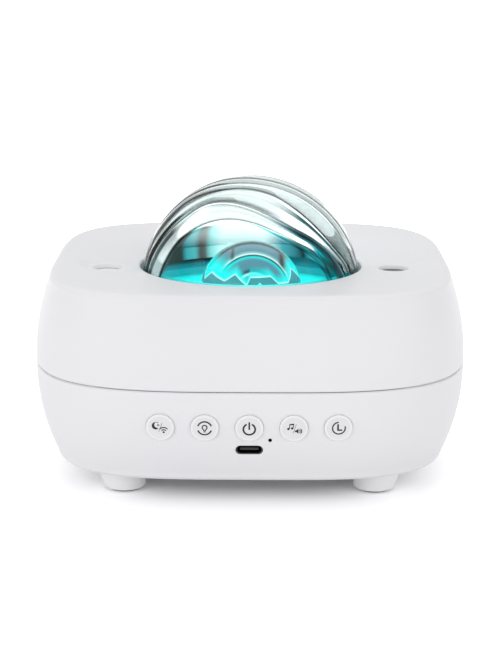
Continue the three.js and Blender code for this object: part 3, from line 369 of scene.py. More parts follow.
class Nodes:
    """A short way to build the nodes of a new material or world."""

    def __init__(self, name, owners=bpy.data.materials):
        self.made = owners.new(name)
        self.made.use_nodes = True
        self.tree = self.made.node_tree
        self.shader = self.tree.nodes.get("Principled BSDF")

    def add(self, kind, **values):
        """Adds a node. Values named in_ and a name are its inputs, and the others its settings."""
        node = self.tree.nodes.new(kind)
        for key, value in values.items():
            if key.startswith("in_"):
                set_input(node, key[3:], value)
            else:
                setattr(node, key, value)
        return node

    def link(self, source, target):
        self.tree.links.new(source, target)

    def set(self, **values):
        for name, value in values.items():
            set_input(self.shader, name, value)

    def noise(self, scale, detail=3.0, stretch=None):
        place = self.add("ShaderNodeTexCoord").outputs["Object"]
        if stretch:
            mapping = self.add("ShaderNodeMapping", in_scale=stretch)
            self.link(place, mapping.inputs["Vector"])
            place = mapping.outputs["Vector"]
        noise = self.add("ShaderNodeTexNoise", in_scale=scale, in_detail=detail)
        self.link(place, noise.inputs["Vector"])
        return noise.outputs["Fac"]

    def ramp(self, factor, stops):
        node = self.add("ShaderNodeValToRGB")
        while len(node.color_ramp.elements) < len(stops):
            node.color_ramp.elements.new(0.5)
        for element, (place, color) in zip(node.color_ramp.elements, stops):
            element.position = place
            element.color = (*color, 1.0)
        self.link(factor, node.inputs["Fac"])
        return node.outputs["Color"]

    def span(self, factor, low, high):
        """Maps 0 to 1 onto low to high."""
        node = self.add("ShaderNodeMapRange", in_to_min=low, in_to_max=high)
        self.link(factor, node.inputs["Value"])
        return node.outputs["Result"]

    def math(self, operation, first, second=None):
        node = self.add("ShaderNodeMath", operation=operation)
        for value, socket in zip((first, second), node.inputs):
            if isinstance(value, (int, float)):
                socket.default_value = value
            elif value is not None:
                self.link(value, socket)
        return node.outputs[0]

    def plus(self, first, second):
        return self.math("ADD", first, second)

    def minus(self, first, second):
        return self.math("SUBTRACT", first, second)

    def times(self, *factors):
        """The product of two or more values."""
        total = factors[0]
        for factor in factors[1:]:
            total = self.math("MULTIPLY", total, factor)
        return total

    def smooth(self, value, low, high, to_low=0.0, to_high=1.0):
        """Rises smoothly while the value goes from low to high."""
        node = self.add("ShaderNodeMapRange", interpolation_type="SMOOTHSTEP")
        for socket, number in zip(node.inputs[1:5], (low, high, to_low, to_high)):
            socket.default_value = number
        self.link(value, node.inputs[0])
        return node.outputs[0]

    def near(self, value, middle, half):
        """One at the middle, and nothing further than half away from it."""
        away = self.math("ABSOLUTE", self.minus(value, middle))
        return self.smooth(away, 0.0, half, 1.0, 0.0)

    def mix(self, share, first, second):
        """The first colour where the share is nothing, and the second where it is one."""
        node = self.add("ShaderNodeMix", data_type="RGBA")
        for value, socket in ((share, node.inputs[0]), (first, node.inputs[6]), (second, node.inputs[7])):
            if isinstance(value, (int, float)):
                socket.default_value = value
            elif isinstance(value, tuple):
                socket.default_value = (*value, 1.0)
            else:
                self.link(value, socket)
        return node.outputs[2]

    def place(self):
        """The place on the object: X, Y and Z in millimetres."""
        scale = self.add("ShaderNodeVectorMath", operation="SCALE", in_scale=1 / MM)
        self.link(self.add("ShaderNodeTexCoord").outputs["Object"], scale.inputs[0])
        parts = self.add("ShaderNodeSeparateXYZ")
        self.link(scale.outputs[0], parts.inputs[0])
        return parts.outputs

    def glow(self, color, strength=0.9):
        """Lit from inside: the colour is given off as light, and a share of it is paint too. Only the LED
        is a lamp; on the other parts this is painted light.
        """
        self.link(color, self.shader.inputs["Emission Color"])
        self.shader.inputs["Emission Strength"].default_value = strength
        self.link(self.mix(1 - PAINT_SHARE, color, BLACK), self.shader.inputs["Base Color"])

    def where_seen(self, unseen, seen):
        """One shader, but the other where the camera sees it, also in a mirror or through glass."""
        path = self.add("ShaderNodeLightPath")
        share = path.outputs["Is Camera Ray"]
        for name in ("Is Glossy Ray", "Is Transmission Ray"):
            share = self.math("MAXIMUM", share, path.outputs[name])
        mix = self.add("ShaderNodeMixShader")
        for source, target in zip((share, unseen.outputs[0], seen.outputs[0]), mix.inputs):
            self.link(source, target)
        return mix.outputs[0]

    def bump(self, height, strength, distance):
        node = self.add("ShaderNodeBump", in_strength=strength, in_distance=distance)
        self.link(height, node.inputs["Height"])
        self.link(node.outputs["Normal"], self.shader.inputs["Normal"])


GRAIN_HEIGHT = 0.05 * MM
GLOSS_DRIFT = 0.05
BRUSH_SCALE = 220.0
BRUSH_SHADE = 0.82
BRUSH_DRIFT = 0.08
BRUSH_STRETCH = (1.0, 1.0, 40.0)
BLACK = (0.0, 0.0, 0.0)
PAINT_SHARE = 0.3
# The black of the painted shade in the socket's slot and the microphone's hole
PORT_SHADE_BLACK = (0.012, 0.012, 0.013)
# The grey of the painted shade on the key caps' faces
FACE_SHADE_GREY = (0.765, 0.765, 0.775)


def reach_of(m, x, y):
    """The distance from nothing of a point at x and y."""
    return m.math("SQRT", m.plus(m.times(x, x), m.times(y, y)))


def moulded(name, light, dark, roughness, grain=900.0, bump=0.04, specular=0.4, finish=None):
    """A moulded plastic with colour drift and fine grain. A finish changes its colour by place."""
    m = Nodes(name)
    m.set(specular_ior_level=specular)
    color = m.ramp(m.noise(14.0, 2.0), [(0.35, dark), (0.65, light)])
    m.link(finish(m, color) if finish else color, m.shader.inputs["Base Color"])
    gloss = m.noise(60.0, 4.0)
    m.link(m.span(gloss, roughness - GLOSS_DRIFT, roughness + GLOSS_DRIFT), m.shader.inputs["Roughness"])
    m.bump(m.noise(grain, 2.0), bump, GRAIN_HEIGHT)
    return m.made


def ports_painted_shade(m, color):
    """Painted shade: black walls in the socket's slot and in the microphone's hole."""
    x, y, z = m.place()
    past = m.minus(m.math("ABSOLUTE", x), (SLOT_WIDTH - SLOT_HEIGHT) / 2)
    away = reach_of(m, m.math("MAXIMUM", past, 0.0), m.minus(z, SLOT_Z))
    slot = m.math("LESS_THAN", away, SLOT_HEIGHT / 2 - SLOT_LIP + PORT_EDGE)
    away = reach_of(m, m.minus(x, PIN_X), m.minus(z, PIN_Z))
    port = m.math("MAXIMUM", slot, m.math("LESS_THAN", away, PIN_RADIUS + PORT_EDGE))
    port = m.times(port, m.math("LESS_THAN", y, PORT_Y))
    return m.mix(port, color, PORT_SHADE_BLACK)


def face_painted_shade(m, color):
    """A key cap's face, painted a little greyer than its edge as painted shade, so that the rim reads as
    lit.
    """
    x, y, z = m.place()
    across = m.math("FRACT", m.plus(m.math("DIVIDE", x, BUTTON_PITCH), 0.5))
    across = m.times(m.minus(across, 0.5), BUTTON_PITCH)
    away = reach_of(m, across, m.minus(z, BUTTON_Z))
    return m.mix(m.smooth(away, FACE_RADIUS + 0.25, FACE_RADIUS + 0.1), color, FACE_SHADE_GREY)


def metal(name, color, roughness):
    """A metal with fine brushed lines."""
    m = Nodes(name)
    m.set(metallic=1.0)
    lines = m.noise(BRUSH_SCALE, stretch=BRUSH_STRETCH)
    shade = tuple(part * BRUSH_SHADE for part in color)
    m.link(m.ramp(lines, [(0.3, shade), (0.7, color)]), m.shader.inputs["Base Color"])
    m.link(m.span(lines, roughness - BRUSH_DRIFT, roughness + BRUSH_DRIFT), m.shader.inputs["Roughness"])
    m.bump(lines, 0.1, GRAIN_HEIGHT)
    return m.made


# The plastics of the modelled pieces: light and dark colour, and roughness
# The case's white, with painted shade in the socket's slot and the microphone's hole
case_white = moulded(
    "case_white", (0.8, 0.8, 0.815), (0.785, 0.785, 0.803), 0.45, specular=0.15, finish=ports_painted_shade)
# Painted light: the feet are made lighter than the case's white, standing in for the floor's light on them
foot_painted_light_white = moulded("foot_painted_light_white", (0.93, 0.93, 0.94), (0.91, 0.91, 0.92), 0.45, specular=0.15)
# The key caps' white, with painted shade that greys their faces
cap_white = moulded(
    "cap_white", (0.85, 0.85, 0.86), (0.84, 0.84, 0.85), 0.4, specular=0.2, finish=face_painted_shade)
print_grey = moulded("print_grey", (0.035, 0.035, 0.04), (0.025, 0.025, 0.03), 0.6, specular=0.2)
pad_rubber = moulded(
    "pad_rubber", (0.3, 0.3, 0.31), (0.24, 0.24, 0.25), 0.85, grain=500.0, bump=0.3)


def case_shape(round_radius, square_radius):
    """A shape for lathe(): round inside one radius, the case's outline outside the other."""
    def shape(radius, z, angle):
        share = 1.0
        if square_radius > round_radius:
            share = clamp((radius - round_radius) / (square_radius - round_radius))
        return radius * (1 + (squareness(angle, z) - 1) * share)
    return shape


def side_points(low, high, steps, inset=0.0):
    """Points up the case's side, from one height to another."""
    heights = [low + (high - low) * i / steps for i in range(steps + 1)]
    return [(half_at(z) - inset, z) for z in heights]


def level_round(bm, x, y):
    """Levels the top about a laser unit, so that its opening lies flat. Returns the height there."""
    near = [(math.hypot(v.co.x - x, v.co.y - y), v) for v in bm.verts if v.co.z > WINDOW_TOP]
    middle = [v.co.z for away, v in near if away < LEVEL_SAMPLE]
    height = sum(middle) / len(middle) - LEVEL_DROP
    for away, v in near:
        share = clamp((away - LEVEL_RADIUS) / LEVEL_FADE)
        v.co.z = height + (v.co.z - height) * share * share * (3 - 2 * share)
    return height


def laser_cutter(x, y, top):
    """A laser's opening: the window's pocket, its mouth, and a dish that widens upwards."""
    floor_z = WINDOW_TOP - POCKET_DEEP
    profile = [(0, floor_z), (WINDOW_POCKET, floor_z), (WINDOW_POCKET, WINDOW_TOP + 0.05)]
    profile += [(WINDOW_MOUTH, WINDOW_TOP + 0.1), (WINDOW_MOUTH + 0.03, WINDOW_TOP + 0.25)]
    profile += [(DISH_RADIUS - 0.17, top - 0.1), (DISH_RADIUS, top + 0.03), (DISH_RADIUS + 0.38, top + 0.3)]
    return new_object("dish_cutter", moved(lathe(profile + [(0, top + 2)]), x, y))


def upper_case():
    """The upper shell: sides, a rounded crest, a dished top, and the dome's hole with its collar."""
    low = SEAM_Z + SEAM_GAP / 2
    crest = half_at(SIDE_TOP_Z) - EDGE
    hole_out = DOME_HOLE + HOLE_LIP
    profile = [(half_at(low + SEAM_EDGE) - SEAM_EDGE, low)]
    profile += side_points(low + SEAM_EDGE, SIDE_TOP_Z, SIDE_STEPS)
    profile += arc((crest, SIDE_TOP_Z), EDGE, 10, 90, EDGE_STEPS)
    for i in range(1, TOP_STEPS):
        share = i / TOP_STEPS
        sink = (1 - math.cos(math.pi * share)) / 2 * TOP_BEND + share * (1 - TOP_BEND)
        profile.append((crest + (hole_out - crest) * share, CREST_Z + (RIM_Z - CREST_Z) * sink))
    profile += arc((hole_out, RIM_Z - HOLE_LIP), HOLE_LIP, 90, 180, EDGE_STEPS)
    collar = DOME_HOLE + COLLAR_WALL
    profile += [(DOME_HOLE, COLLAR_Z), (collar, COLLAR_Z), (collar, RIM_Z - WALL)]
    profile += [(crest - WALL, CREST_Z - WALL)]
    profile += side_points(low, SIDE_TOP_Z - WALL, INSIDE_STEPS, WALL)[::-1]
    bm = lathe(profile, AROUND, case_shape(hole_out, crest))
    tops = {sign: level_round(bm, sign * LASER_X, LASER_Y) for sign in (-1, 1)}
    obj = new_object("upper_case", bm, [case_white])
    return boolean(obj, [laser_cutter(sign * LASER_X, LASER_Y, top) for sign, top in tops.items()])


def stadium(width, height, steps=12):
    """Points of a round-ended slot about the middle."""
    end = (width - height) / 2
    return arc((end, 0), height / 2, -90, 90, steps) + arc((-end, 0), height / 2, 90, 270, steps)


def loft(rings):
    """A closed solid through rings of equal point counts."""
    bm = bmesh.new()
    made = [[bm.verts.new(point) for point in ring] for ring in rings]
    for low, high in zip(made, made[1:]):
        bridge(bm, low, high)
    bm.faces.new(made[0][::-1])
    bm.faces.new(made[-1])
    return bm


def slot_cutter():
    """The socket's slot, with a narrower mouth and a softened edge that follows the case."""
    lip, edge = SLOT_LIP, SLOT_EDGE
    rings = []
    steps = [(0, -SLOT_DEEP), (0, -0.7), (-lip, -0.6), (-lip, -edge), (-lip + edge * 0.3, -edge * 0.3)]
    steps += [(-lip + edge, edge * 0.1), (-lip + edge * 2, edge * 6)]
    for grow, out in steps:
        ring = []
        for u, v in stadium(SLOT_WIDTH + 2 * grow, SLOT_HEIGHT + 2 * grow):
            ring.append((u, -(front_at(u, SLOT_Z + v) + out), SLOT_Z + v))
        rings.append(ring)
    return new_object("slot_cutter", loft(rings))


def key_hole_cutter(i):
    """A key's hole: wide behind, with a close mouth and a softened edge."""
    mouth = BUTTON_RADIUS + 0.05
    profile = [(0, -HOLE_DEEP), (HOLE_RADIUS, -HOLE_DEEP), (HOLE_RADIUS, -0.6), (mouth, -0.5)]
    profile += [(mouth, -0.2), (mouth + 0.03, -0.03), (mouth + 0.1, 0.01), (mouth + 0.7, 0.6), (0, 0.6)]
    return new_object("hole_cutter", front_turned(profile, button_x(i), BUTTON_Z))


def pin_cutter():
    profile = [(0, -PIN_DEEP), (PIN_RADIUS, -PIN_DEEP), (PIN_RADIUS, -0.15), (PIN_RADIUS + 0.2, 0.02)]
    profile += [(PIN_RADIUS + 0.3, 0.4), (0, 0.4)]
    return new_object("pin_cutter", front_turned(profile, PIN_X, PIN_Z, segments=32))


def grille_cutter(i):
    """One of the loudspeaker's slots, each as wide as a circle is at its place."""
    y = (i - (GRILLE_COUNT - 1) / 2) * GRILLE_PITCH
    width = 2 * math.sqrt(GRILLE_RADIUS ** 2 - y ** 2)
    rings = []
    for grow, up in ((GRILLE_EDGE, -0.5), (GRILLE_EDGE, -0.02), (0, GRILLE_EDGE), (0, WALL + 1)):
        outline = stadium(width + 2 * grow, GRILLE_SLOT + 2 * grow)
        rings.append([(u, y + v, BOTTOM_Z + up) for u, v in outline])
    return new_object("grille_cutter", loft(rings))


def lower_case():
    """The lower shell: a tub with holes for the keys, the socket, the microphone and the loudspeaker."""
    high = SEAM_Z - SEAM_GAP / 2
    bottom_half = half_at(SIDE_BOTTOM_Z)
    profile = [(0, BOTTOM_Z), (bottom_half / 2, BOTTOM_Z)]
    profile += arc((bottom_half - BOTTOM_EDGE, SIDE_BOTTOM_Z), BOTTOM_EDGE, 270, 350, EDGE_STEPS)
    profile += side_points(SIDE_BOTTOM_Z, high - SEAM_EDGE, SIDE_STEPS)
    profile += [(half_at(high) - SEAM_EDGE, high)]
    profile += side_points(BOTTOM_Z + WALL, high, INSIDE_STEPS, WALL)[::-1]
    profile += [(0, BOTTOM_Z + WALL)]
    obj = new_object("lower_case", lathe(profile, AROUND, case_shape(0, WALL)), [case_white])
    cutters = [key_hole_cutter(i) for i in range(len(BUTTON_NAMES))]
    cutters += [slot_cutter(), pin_cutter()]
    return boolean(obj, cutters + [grille_cutter(i) for i in range(GRILLE_COUNT)])


def button_x(i):
    return (i - (len(BUTTON_NAMES) - 1) / 2) * BUTTON_PITCH


def button_cap(i):
    """A key's cap: a face sunk in a rounded rim, and a flange behind the case's wall."""
    profile = [(0, FACE_PROUD), (BUTTON_RADIUS * 0.4, FACE_PROUD), (FACE_RADIUS, FACE_PROUD)]
    profile += [(FACE_RADIUS + 0.17, FACE_PROUD + 0.04), (FACE_RADIUS + 0.33, BUTTON_PROUD - 0.02)]
    rounding = (BUTTON_RADIUS - BUTTON_ROUND, BUTTON_PROUD - BUTTON_ROUND)
    profile += arc(rounding, BUTTON_ROUND, 90, 0, EDGE_STEPS)
    flange = BUTTON_RADIUS + FLANGE_WIDTH
    profile += [(BUTTON_RADIUS, -FLANGE_FRONT), (flange, -FLANGE_FRONT), (flange, -FLANGE_BACK)]
    profile += [(0, -FLANGE_BACK)]
    bm = front_turned(profile, button_x(i), BUTTON_Z)
    return new_object(BUTTON_NAMES[i] + "_cap", bm, [cap_white])


def round_stroke(points, width):
    """The outline of a line with round ends."""
    left, right = [], []
    half = width / 2
    for i, (x, y) in enumerate(points):
        ax, ay = points[max(0, i - 1)]
        bx, by = points[min(len(points) - 1, i + 1)]
        length = math.hypot(bx - ax, by - ay)
        nx, ny = -(by - ay) / length * half, (bx - ax) / length * half
        left.append((x + nx, y + ny))
        right.append((x - nx, y - ny))

    def end_cap(at, start):
        angle = math.degrees(math.atan2(start[1] - at[1], start[0] - at[0]))
        return arc(at, half, angle, angle - 180, 6)[1:-1]
    return left + end_cap(points[-1], left[-1]) + right[::-1] + end_cap(points[0], right[0])


def dot(x, y, radius, steps=20):
    return arc((x, y), radius, 0, 360 - 360 / steps, steps - 1)


def line(start, end, width):
    return round_stroke([start, end], width)


def bow(centre, radius, start, end, steps, width):
    return round_stroke(arc(centre, radius, start, end, steps), width)


def star(x, y, outer, inner, points=5):
    corners = []
    for i in range(2 * points):
        radius = inner if i % 2 else outer
        angle = math.pi / 2 + i * math.pi / points
        corners.append((x + radius * math.cos(angle), y + radius * math.sin(angle)))
    return corners


# The signs printed on the keys: lists of outlines in millimetres about each key's middle
def night_and_radio_sign():
    """A crescent with a star, a slash, and radio waves."""
    crescent = arc((-1.42, 0.68), 1.3, 48, 300, 22) + arc((-0.84, 1.0), 1.06, 278, 76, 18)
    waves = [bow((1.2, -1.6), radius, 47, 133, 14, 0.36) for radius in (0.95, 1.75)]
    slash = line((-0.45, -1.35), (0.7, 1.75), 0.12)
    return [crescent, star(-0.6, 0.95, 0.4, 0.2), slash, dot(1.2, -1.55, 0.34)] + waves


def bulb_sign():
    """A bulb between two arcs."""
    sides = [line((side * 0.46, -0.3), (side * 0.18, -0.82), 0.34) for side in (-1, 1)]
    foot_line = line((-0.2, -1.2), (0.2, -1.2), 0.3)
    arcs = [bow((0, 0.1), 2.32, start, start + 132, 28, 0.48) for start in (24, 204)]
    return [bow((0, 0.35), 0.8, -52, 232, 22, 0.38)] + sides + [foot_line] + arcs


def power_sign():
    return [bow((0, -0.2), 1.95, 122, 418, 44, 0.58), line((0, -0.15), (0, 2.15), 0.54)]


def sound_sign():
    """A note and a loudspeaker with a slash between them."""
    note = [dot(-1.85, 0.0, 0.4), dot(-0.62, 0.2, 0.4), line((-1.53, 0.05), (-1.35, 1.55), 0.26)]
    note += [line((-0.3, 0.25), (-0.14, 1.75), 0.26), line((-1.33, 1.5), (-0.14, 1.7), 0.46)]
    cone = [(0.3, -1.1), (0.75, -1.1), (1.5, -1.7), (1.5, 0.1), (0.75, -0.5), (0.3, -0.5)]
    slash = line((-0.3, -1.55), (0.75, 1.6), 0.12)
    return note + [cone, slash] + [bow((1.45, -0.8), radius, -44, 44, 10, 0.3) for radius in (0.6, 1.1)]


def clock_sign():
    """An open ring with two hands."""
    hands = [line((-0.2, 1.4), (-0.2, -0.55), 0.54), line((-0.2, -0.55), (1.0, -0.55), 0.5)]
    return [bow((0.1, 0.15), 2.1, 98, 372, 40, 0.44)] + hands


def button_sign(i, outlines):
    """Thin printed shapes that stand on a key's face."""
    bm = bmesh.new()
    for outline in outlines:
        places = [(button_x(i) + u, BUTTON_Z + v) for u, v in outline]
        low, high = ([bm.verts.new((x, -(front_at(x, z) + out), z)) for x, z in places]
                     for out in (FACE_PROUD - PRINT_SUNK, PRINT_PROUD))
        bridge(bm, low, high)
        for a, b, c in tessellate_polygon([[Vector((u, v, 0)) for u, v in outline]]):
            bm.faces.new((low[a], low[c], low[b]))
            bm.faces.new((high[a], high[b], high[c]))
    return new_object(BUTTON_NAMES[i] + "_sign", bm, [print_grey], smooth=False)


def foot(place, side_x, side_y):
    """A leaning foot: its sole stands nearer the middle than its top, and holds the pad in a pocket."""
    top_z = BOTTOM_Z - 0.02
    pocket_z = SOLE_Z + 1.6
    profile = [(0, pocket_z), (PAD_POCKET, pocket_z)]
    profile += [(PAD_POCKET, SOLE_Z + 0.15), (PAD_POCKET + 0.15, SOLE_Z)]
    profile += arc((SOLE_RADIUS - SOLE_ROUND, SOLE_Z + SOLE_ROUND), SOLE_ROUND, 270, 345, EDGE_STEPS)
    profile += [(SOLE_RADIUS + 0.02, SOLE_Z + 1.1), (FOOT_TOP_RADIUS - 0.6, top_z - 0.9)]
    profile += [(FOOT_TOP_RADIUS - 0.3, top_z - 0.25), (FOOT_TOP_RADIUS, top_z), (0, top_z)]
    bm = lathe(profile)
    upright_z = SOLE_Z + 1
    for vert in bm.verts:
        in_pocket = math.hypot(vert.co.x, vert.co.y) < PAD_POCKET + 0.2 and vert.co.z < SOLE_Z + 2
        share = 0.0 if in_pocket else clamp((vert.co.z - upright_z) / (top_z - upright_z))
        vert.co.x += side_x * (FOOT_X + FOOT_LEAN * share)
        vert.co.y += side_y * (FOOT_Y + FOOT_LEAN * share)
    return new_object("foot_" + place + "_white", bm, [foot_painted_light_white])


def foot_pad(place, side_x, side_y):
    profile = [(0, 0)] + arc((PAD_RADIUS - PAD_ROUND, PAD_ROUND), PAD_ROUND, 270, 360, 6)
    bm = lathe(profile + [(PAD_RADIUS, PAD_HIGH), (0, PAD_HIGH)], segments=64)
    return new_object("pad_" + place, moved(bm, side_x * FOOT_X, side_y * FOOT_Y), [pad_rubber])


# The creases of the outer dome. A row says how far along the ripples' axis one crease lies, at the places
# across in CREASE_X, all as shares of the radius. Behind the last row they follow at an even pitch.
RIPPLE_AXIS = Vector((0.17, 0.98, 0.1)).normalized()
CREASE_X = (-1.0, -0.8, -0.6, -0.4, -0.2, 0.0, 0.2, 0.4, 0.6, 0.75, 0.9, 1.0)
CREASES = (
    (-0.7, -0.664, -0.622, -0.609, -0.611, -0.625, -0.632, -0.602, -0.536, -0.5, -0.46, -0.44),
    (-0.41, -0.438, -0.432, -0.402, -0.437, -0.49, -0.53, -0.52, -0.452, -0.378, -0.29, -0.25),
    (-0.304, -0.3, -0.266, -0.253, -0.249, -0.258, -0.284, -0.335, -0.357, -0.325, -0.219, -0.16),
    (-0.131, -0.137, -0.1, -0.113, -0.133, -0.14, -0.128, -0.115, -0.104, -0.108, -0.106, -0.09),
    (0.0, 0.01, 0.02, 0.02, 0.01, 0.0, 0.0, 0.01, 0.02, 0.03, 0.03, 0.04),
)
CREASE_PITCH = 0.15
FRONT_REACH = 0.2
RIPPLE_DEPTH = 0.6
DEPTH_SHARES = (1.0, 1.0, 0.3, 0.3)
REAR_SHARE = 0.06
RIPPLE_STEPS = 9
CUTTER_RADIUS = 60.0
DOME_SEGMENTS = 300
TURNED_SEGMENTS = 180


def crease_places(x):
    """How far along each crease lies at one place across."""
    x = clamp(x, -1.0, 1.0)
    i = max(k for k in range(len(CREASE_X) - 1) if CREASE_X[k] <= x)
    share = (x - CREASE_X[i]) / (CREASE_X[i + 1] - CREASE_X[i])
    s2, s3 = share ** 2, share ** 3
    places = []
    for row in CREASES:
        before = row[max(0, i - 1)]
        after = row[min(len(row) - 1, i + 2)]
        a, b = row[i], row[i + 1]
        rise_a, rise_b = (b - before) / 2, (after - a) / 2
        places.append(a * (2 * s3 - 3 * s2 + 1) + rise_a * (s3 - 2 * s2 + share)
                      + b * (3 * s2 - 2 * s3) + rise_b * (s3 - s2))
    return places


def band_at(direction):
    """The number of the crease before a direction, plus the share of the way to the next one."""
    along = direction.dot(RIPPLE_AXIS)
    places = crease_places(direction.x)
    if along < places[0]:
        return max(-1.0, (along - places[0]) / FRONT_REACH)
    if along >= places[-1]:
        return len(places) - 1 + (along - places[-1]) / CREASE_PITCH
    k = max(i for i, place in enumerate(places) if place <= along)
    return k + (along - places[k]) / (places[k + 1] - places[k])


def sink_at(band, share):
    """How deep the ball's face lies under its crests, at a share of the way through one band."""
    if band < 0:
        return RIPPLE_DEPTH * share ** 2
    depth = RIPPLE_DEPTH * (DEPTH_SHARES[band] if band < len(DEPTH_SHARES) else REAR_SHARE)
    return (2 * share - 1) ** 2 * depth


def along_at(band, share, places):
    """How far along the ripples' axis a share of one band lies, between creases at these places."""
    last = len(CREASES) - 1
    if band < 0:
        return -1 + (places[0] + 1) * share
    if band >= last:
        return places[-1] + (band - last + share) * CREASE_PITCH
    return places[band] + (places[band + 1] - places[band]) * share


def rippled_ball():
    """A ball with rings of points along its creases, and low crests between them."""
    side = RIPPLE_AXIS.cross(Vector((0, 0, 1))).normalized()
    up = side.cross(RIPPLE_AXIS)
    behind = int((1 - crease_places(0.0)[-1]) / CREASE_PITCH)
    end = len(CREASES) - 1 + behind
    levels = [(-1, i / RIPPLE_STEPS) for i in range(1, RIPPLE_STEPS)]
    levels += [(band, i / RIPPLE_STEPS) for band in range(end) for i in range(RIPPLE_STEPS)]
    levels.append((end, 0.0))
    bm = bmesh.new()
    rings = [[bm.verts.new(-RIPPLE_AXIS * DOME_RADIUS)]]
    for band, share in levels:
        radius = DOME_RADIUS - sink_at(band, share)
        ring = []
        for i in range(DOME_SEGMENTS):
            angle = TAU * i / DOME_SEGMENTS
            spoke = side * math.cos(angle) + up * math.sin(angle)
            direction = -RIPPLE_AXIS
            # The crease's place depends on the point's own x, so a few tries settle both
            for _ in range(5):
                along = along_at(band, share, crease_places(direction.x))
                direction = RIPPLE_AXIS * along + spoke * math.sqrt(max(0.0, 1 - along * along))
            ring.append(bm.verts.new(direction * radius))
        rings.append(ring)
    rings.append([bm.verts.new(RIPPLE_AXIS * DOME_RADIUS)])
    for low, high in zip(rings, rings[1:]):
        bridge(bm, low, high)
    return moved(bm, 0, 0, DOME_Z)


def dome_lens(materials):
    """The outer dome: a rippled ball cut off below, with a flange, and a smooth hollow inside."""
    inner = DOME_RADIUS - DOME_WALL
    low, high = FLANGE_LOW_Z, FLANGE_HIGH_Z
    # The ball is cut a little under the flange's top, so that no two faces share a plane
    cut_z = high - 0.7
    obj = new_object("rippled_dome", rippled_ball(), materials, smooth=False)
    below = lathe([(0, 0), (CUTTER_RADIUS, 0), (CUTTER_RADIUS, cut_z), (0, cut_z)], segments=48)
    boolean(obj, [new_object("below_cutter", below)])
    ring = [(FLANGE_RADIUS, low), (FLANGE_RADIUS, high), (inner - 1, high), (inner - 1, low)]
    flange = new_object("flange_ring", lathe(ring, TURNED_SEGMENTS), materials, smooth=False)
    boolean(obj, [flange], "UNION")
    hollow = [(0, low - 1), (inner, low - 1)]
    hollow += arc((0, DOME_Z), inner, 0, 90, 48)[:-1] + [(0, DOME_Z + inner)]
    boolean(obj, [new_object("hollow_cutter", lathe(hollow, TURNED_SEGMENTS))])
    mesh = obj.data
    places = [vert.co / MM - Vector((0, 0, DOME_Z)) for vert in mesh.vertices]
    outer = DOME_RADIUS - 2 * RIPPLE_DEPTH
    bands = [band_at(place.normalized()) if place.length > outer else -1.0 for place in places]
    mesh.attributes.new("band", "FLOAT", "POINT").data.foreach_set("value", bands)
    for polygon in mesh.polygons:
        polygon.material_index = 1 if polygon.center.z / MM < SKIRT_Z else 0
    soften(mesh, 60.0)
    return obj


# Tones over the outer dome's ripples, in its middle and at both sides: painted reflections and painted
# shade, with dark crease lines, white rims and teal and black patches. A bare number is a grey. They start
# in the smooth window at the front, where the band is below 0, and end at the top.
BAND_START = -0.5
BAND_SPAN = 6.0
DOME_GREY = (0.93, 1.0, 0.99)
TONE_POWER = 1.8
MIDDLE_BANDS = (
    (-0.5, 0.97), (-0.03, 0.97), (0.0, 0.12), (0.05, 0.15), (0.08, 0.52), (0.14, 0.55), (0.24, 0.62),
    (0.42, 0.48), (0.56, 0.57), (0.72, 0.46), (0.84, 0.55), (0.93, 0.95), (0.99, 0.97), (1.0, 0.22),
    (1.13, 0.16), (1.19, 0.34), (1.25, 0.52), (1.42, 0.56), (1.55, 0.46), (1.7, 0.58), (1.85, 0.48),
    (1.98, 0.76), (2.0, 0.08), (2.13, 0.2), (2.25, 0.56), (2.85, 0.62), (3.0, 0.3), (3.16, 0.75),
    (3.9, 0.7), (4.0, 0.4), (4.2, 0.85),
)
RIGHT_BANDS = (
    (-0.5, 0.97), (-0.05, 0.92), (-0.03, 0.2), (0.02, 0.12), (0.05, 0.85), (0.3, 0.92),
    (0.38, (0.03, 0.3, 0.32)), (0.6, (0.006, 0.06, 0.06)), (0.88, (0.01, 0.09, 0.09)), (0.91, 0.9),
    (0.97, 0.8), (1.0, 0.03), (1.05, 0.05), (1.09, (0.7, 0.7, 0.74)), (1.45, (0.62, 0.63, 0.66)),
    (1.53, (0.01, 0.08, 0.08)), (1.8, (0.01, 0.12, 0.12)), (1.85, 0.97), (1.96, 0.9), (1.99, 0.02),
    (2.07, 0.03), (2.11, 0.34), (2.35, 0.46), (2.72, 0.52), (2.8, (0.2, 0.34, 0.35)), (2.86, 0.9),
    (3.0, 0.15), (3.08, 0.7), (3.9, 0.75), (4.0, 0.3), (4.1, 0.75), (5.0, 0.8),
)
LEFT_BANDS = (
    (-0.5, 0.97), (-0.03, 0.97), (0.0, 0.04), (0.06, 0.05), (0.09, 0.55), (0.12, 0.2), (0.15, 0.9),
    (0.4, 0.86), (0.52, 0.8), (0.6, 0.86), (0.86, 0.8), (0.91, 0.95), (0.98, 0.85), (1.0, 0.03),
    (1.06, 0.05), (1.1, 0.74), (1.5, 0.84), (1.75, 0.7), (1.9, 0.75), (2.0, 0.04), (2.07, 0.75),
    (2.4, 0.82), (2.48, 0.2), (2.56, 0.75), (3.0, 0.08), (3.12, 0.72), (3.6, 0.5), (4.0, 0.14),
    (4.2, 0.7), (5.0, 0.75),
)
# Colours of the painted reflections, and of the painted white sheen that the glass gives off
CLEAR = (0.975, 0.98, 0.98)
WINDOW_TEAL_REFLECTION = (0.02, 0.24, 0.25)
PATCH_DARK_REFLECTION = (0.015, 0.2, 0.21)
SHEEN_COLOR = (0.95, 1.0, 1.0, 1.0)
SHEEN_LEFT = 0.42
SHEEN_BACK = 0.3


def band_colors(m, band, stops):
    """The painted reflections and shade of one table, over the ripples."""
    share = m.math("DIVIDE", m.minus(band, BAND_START), BAND_SPAN)
    made = []
    for place, tone in stops:
        color = tone if isinstance(tone, tuple) else [tone * part for part in DOME_GREY]
        made.append(((place - BAND_START) / BAND_SPAN, tuple(part ** TONE_POWER for part in color)))
    return m.ramp(share, made)


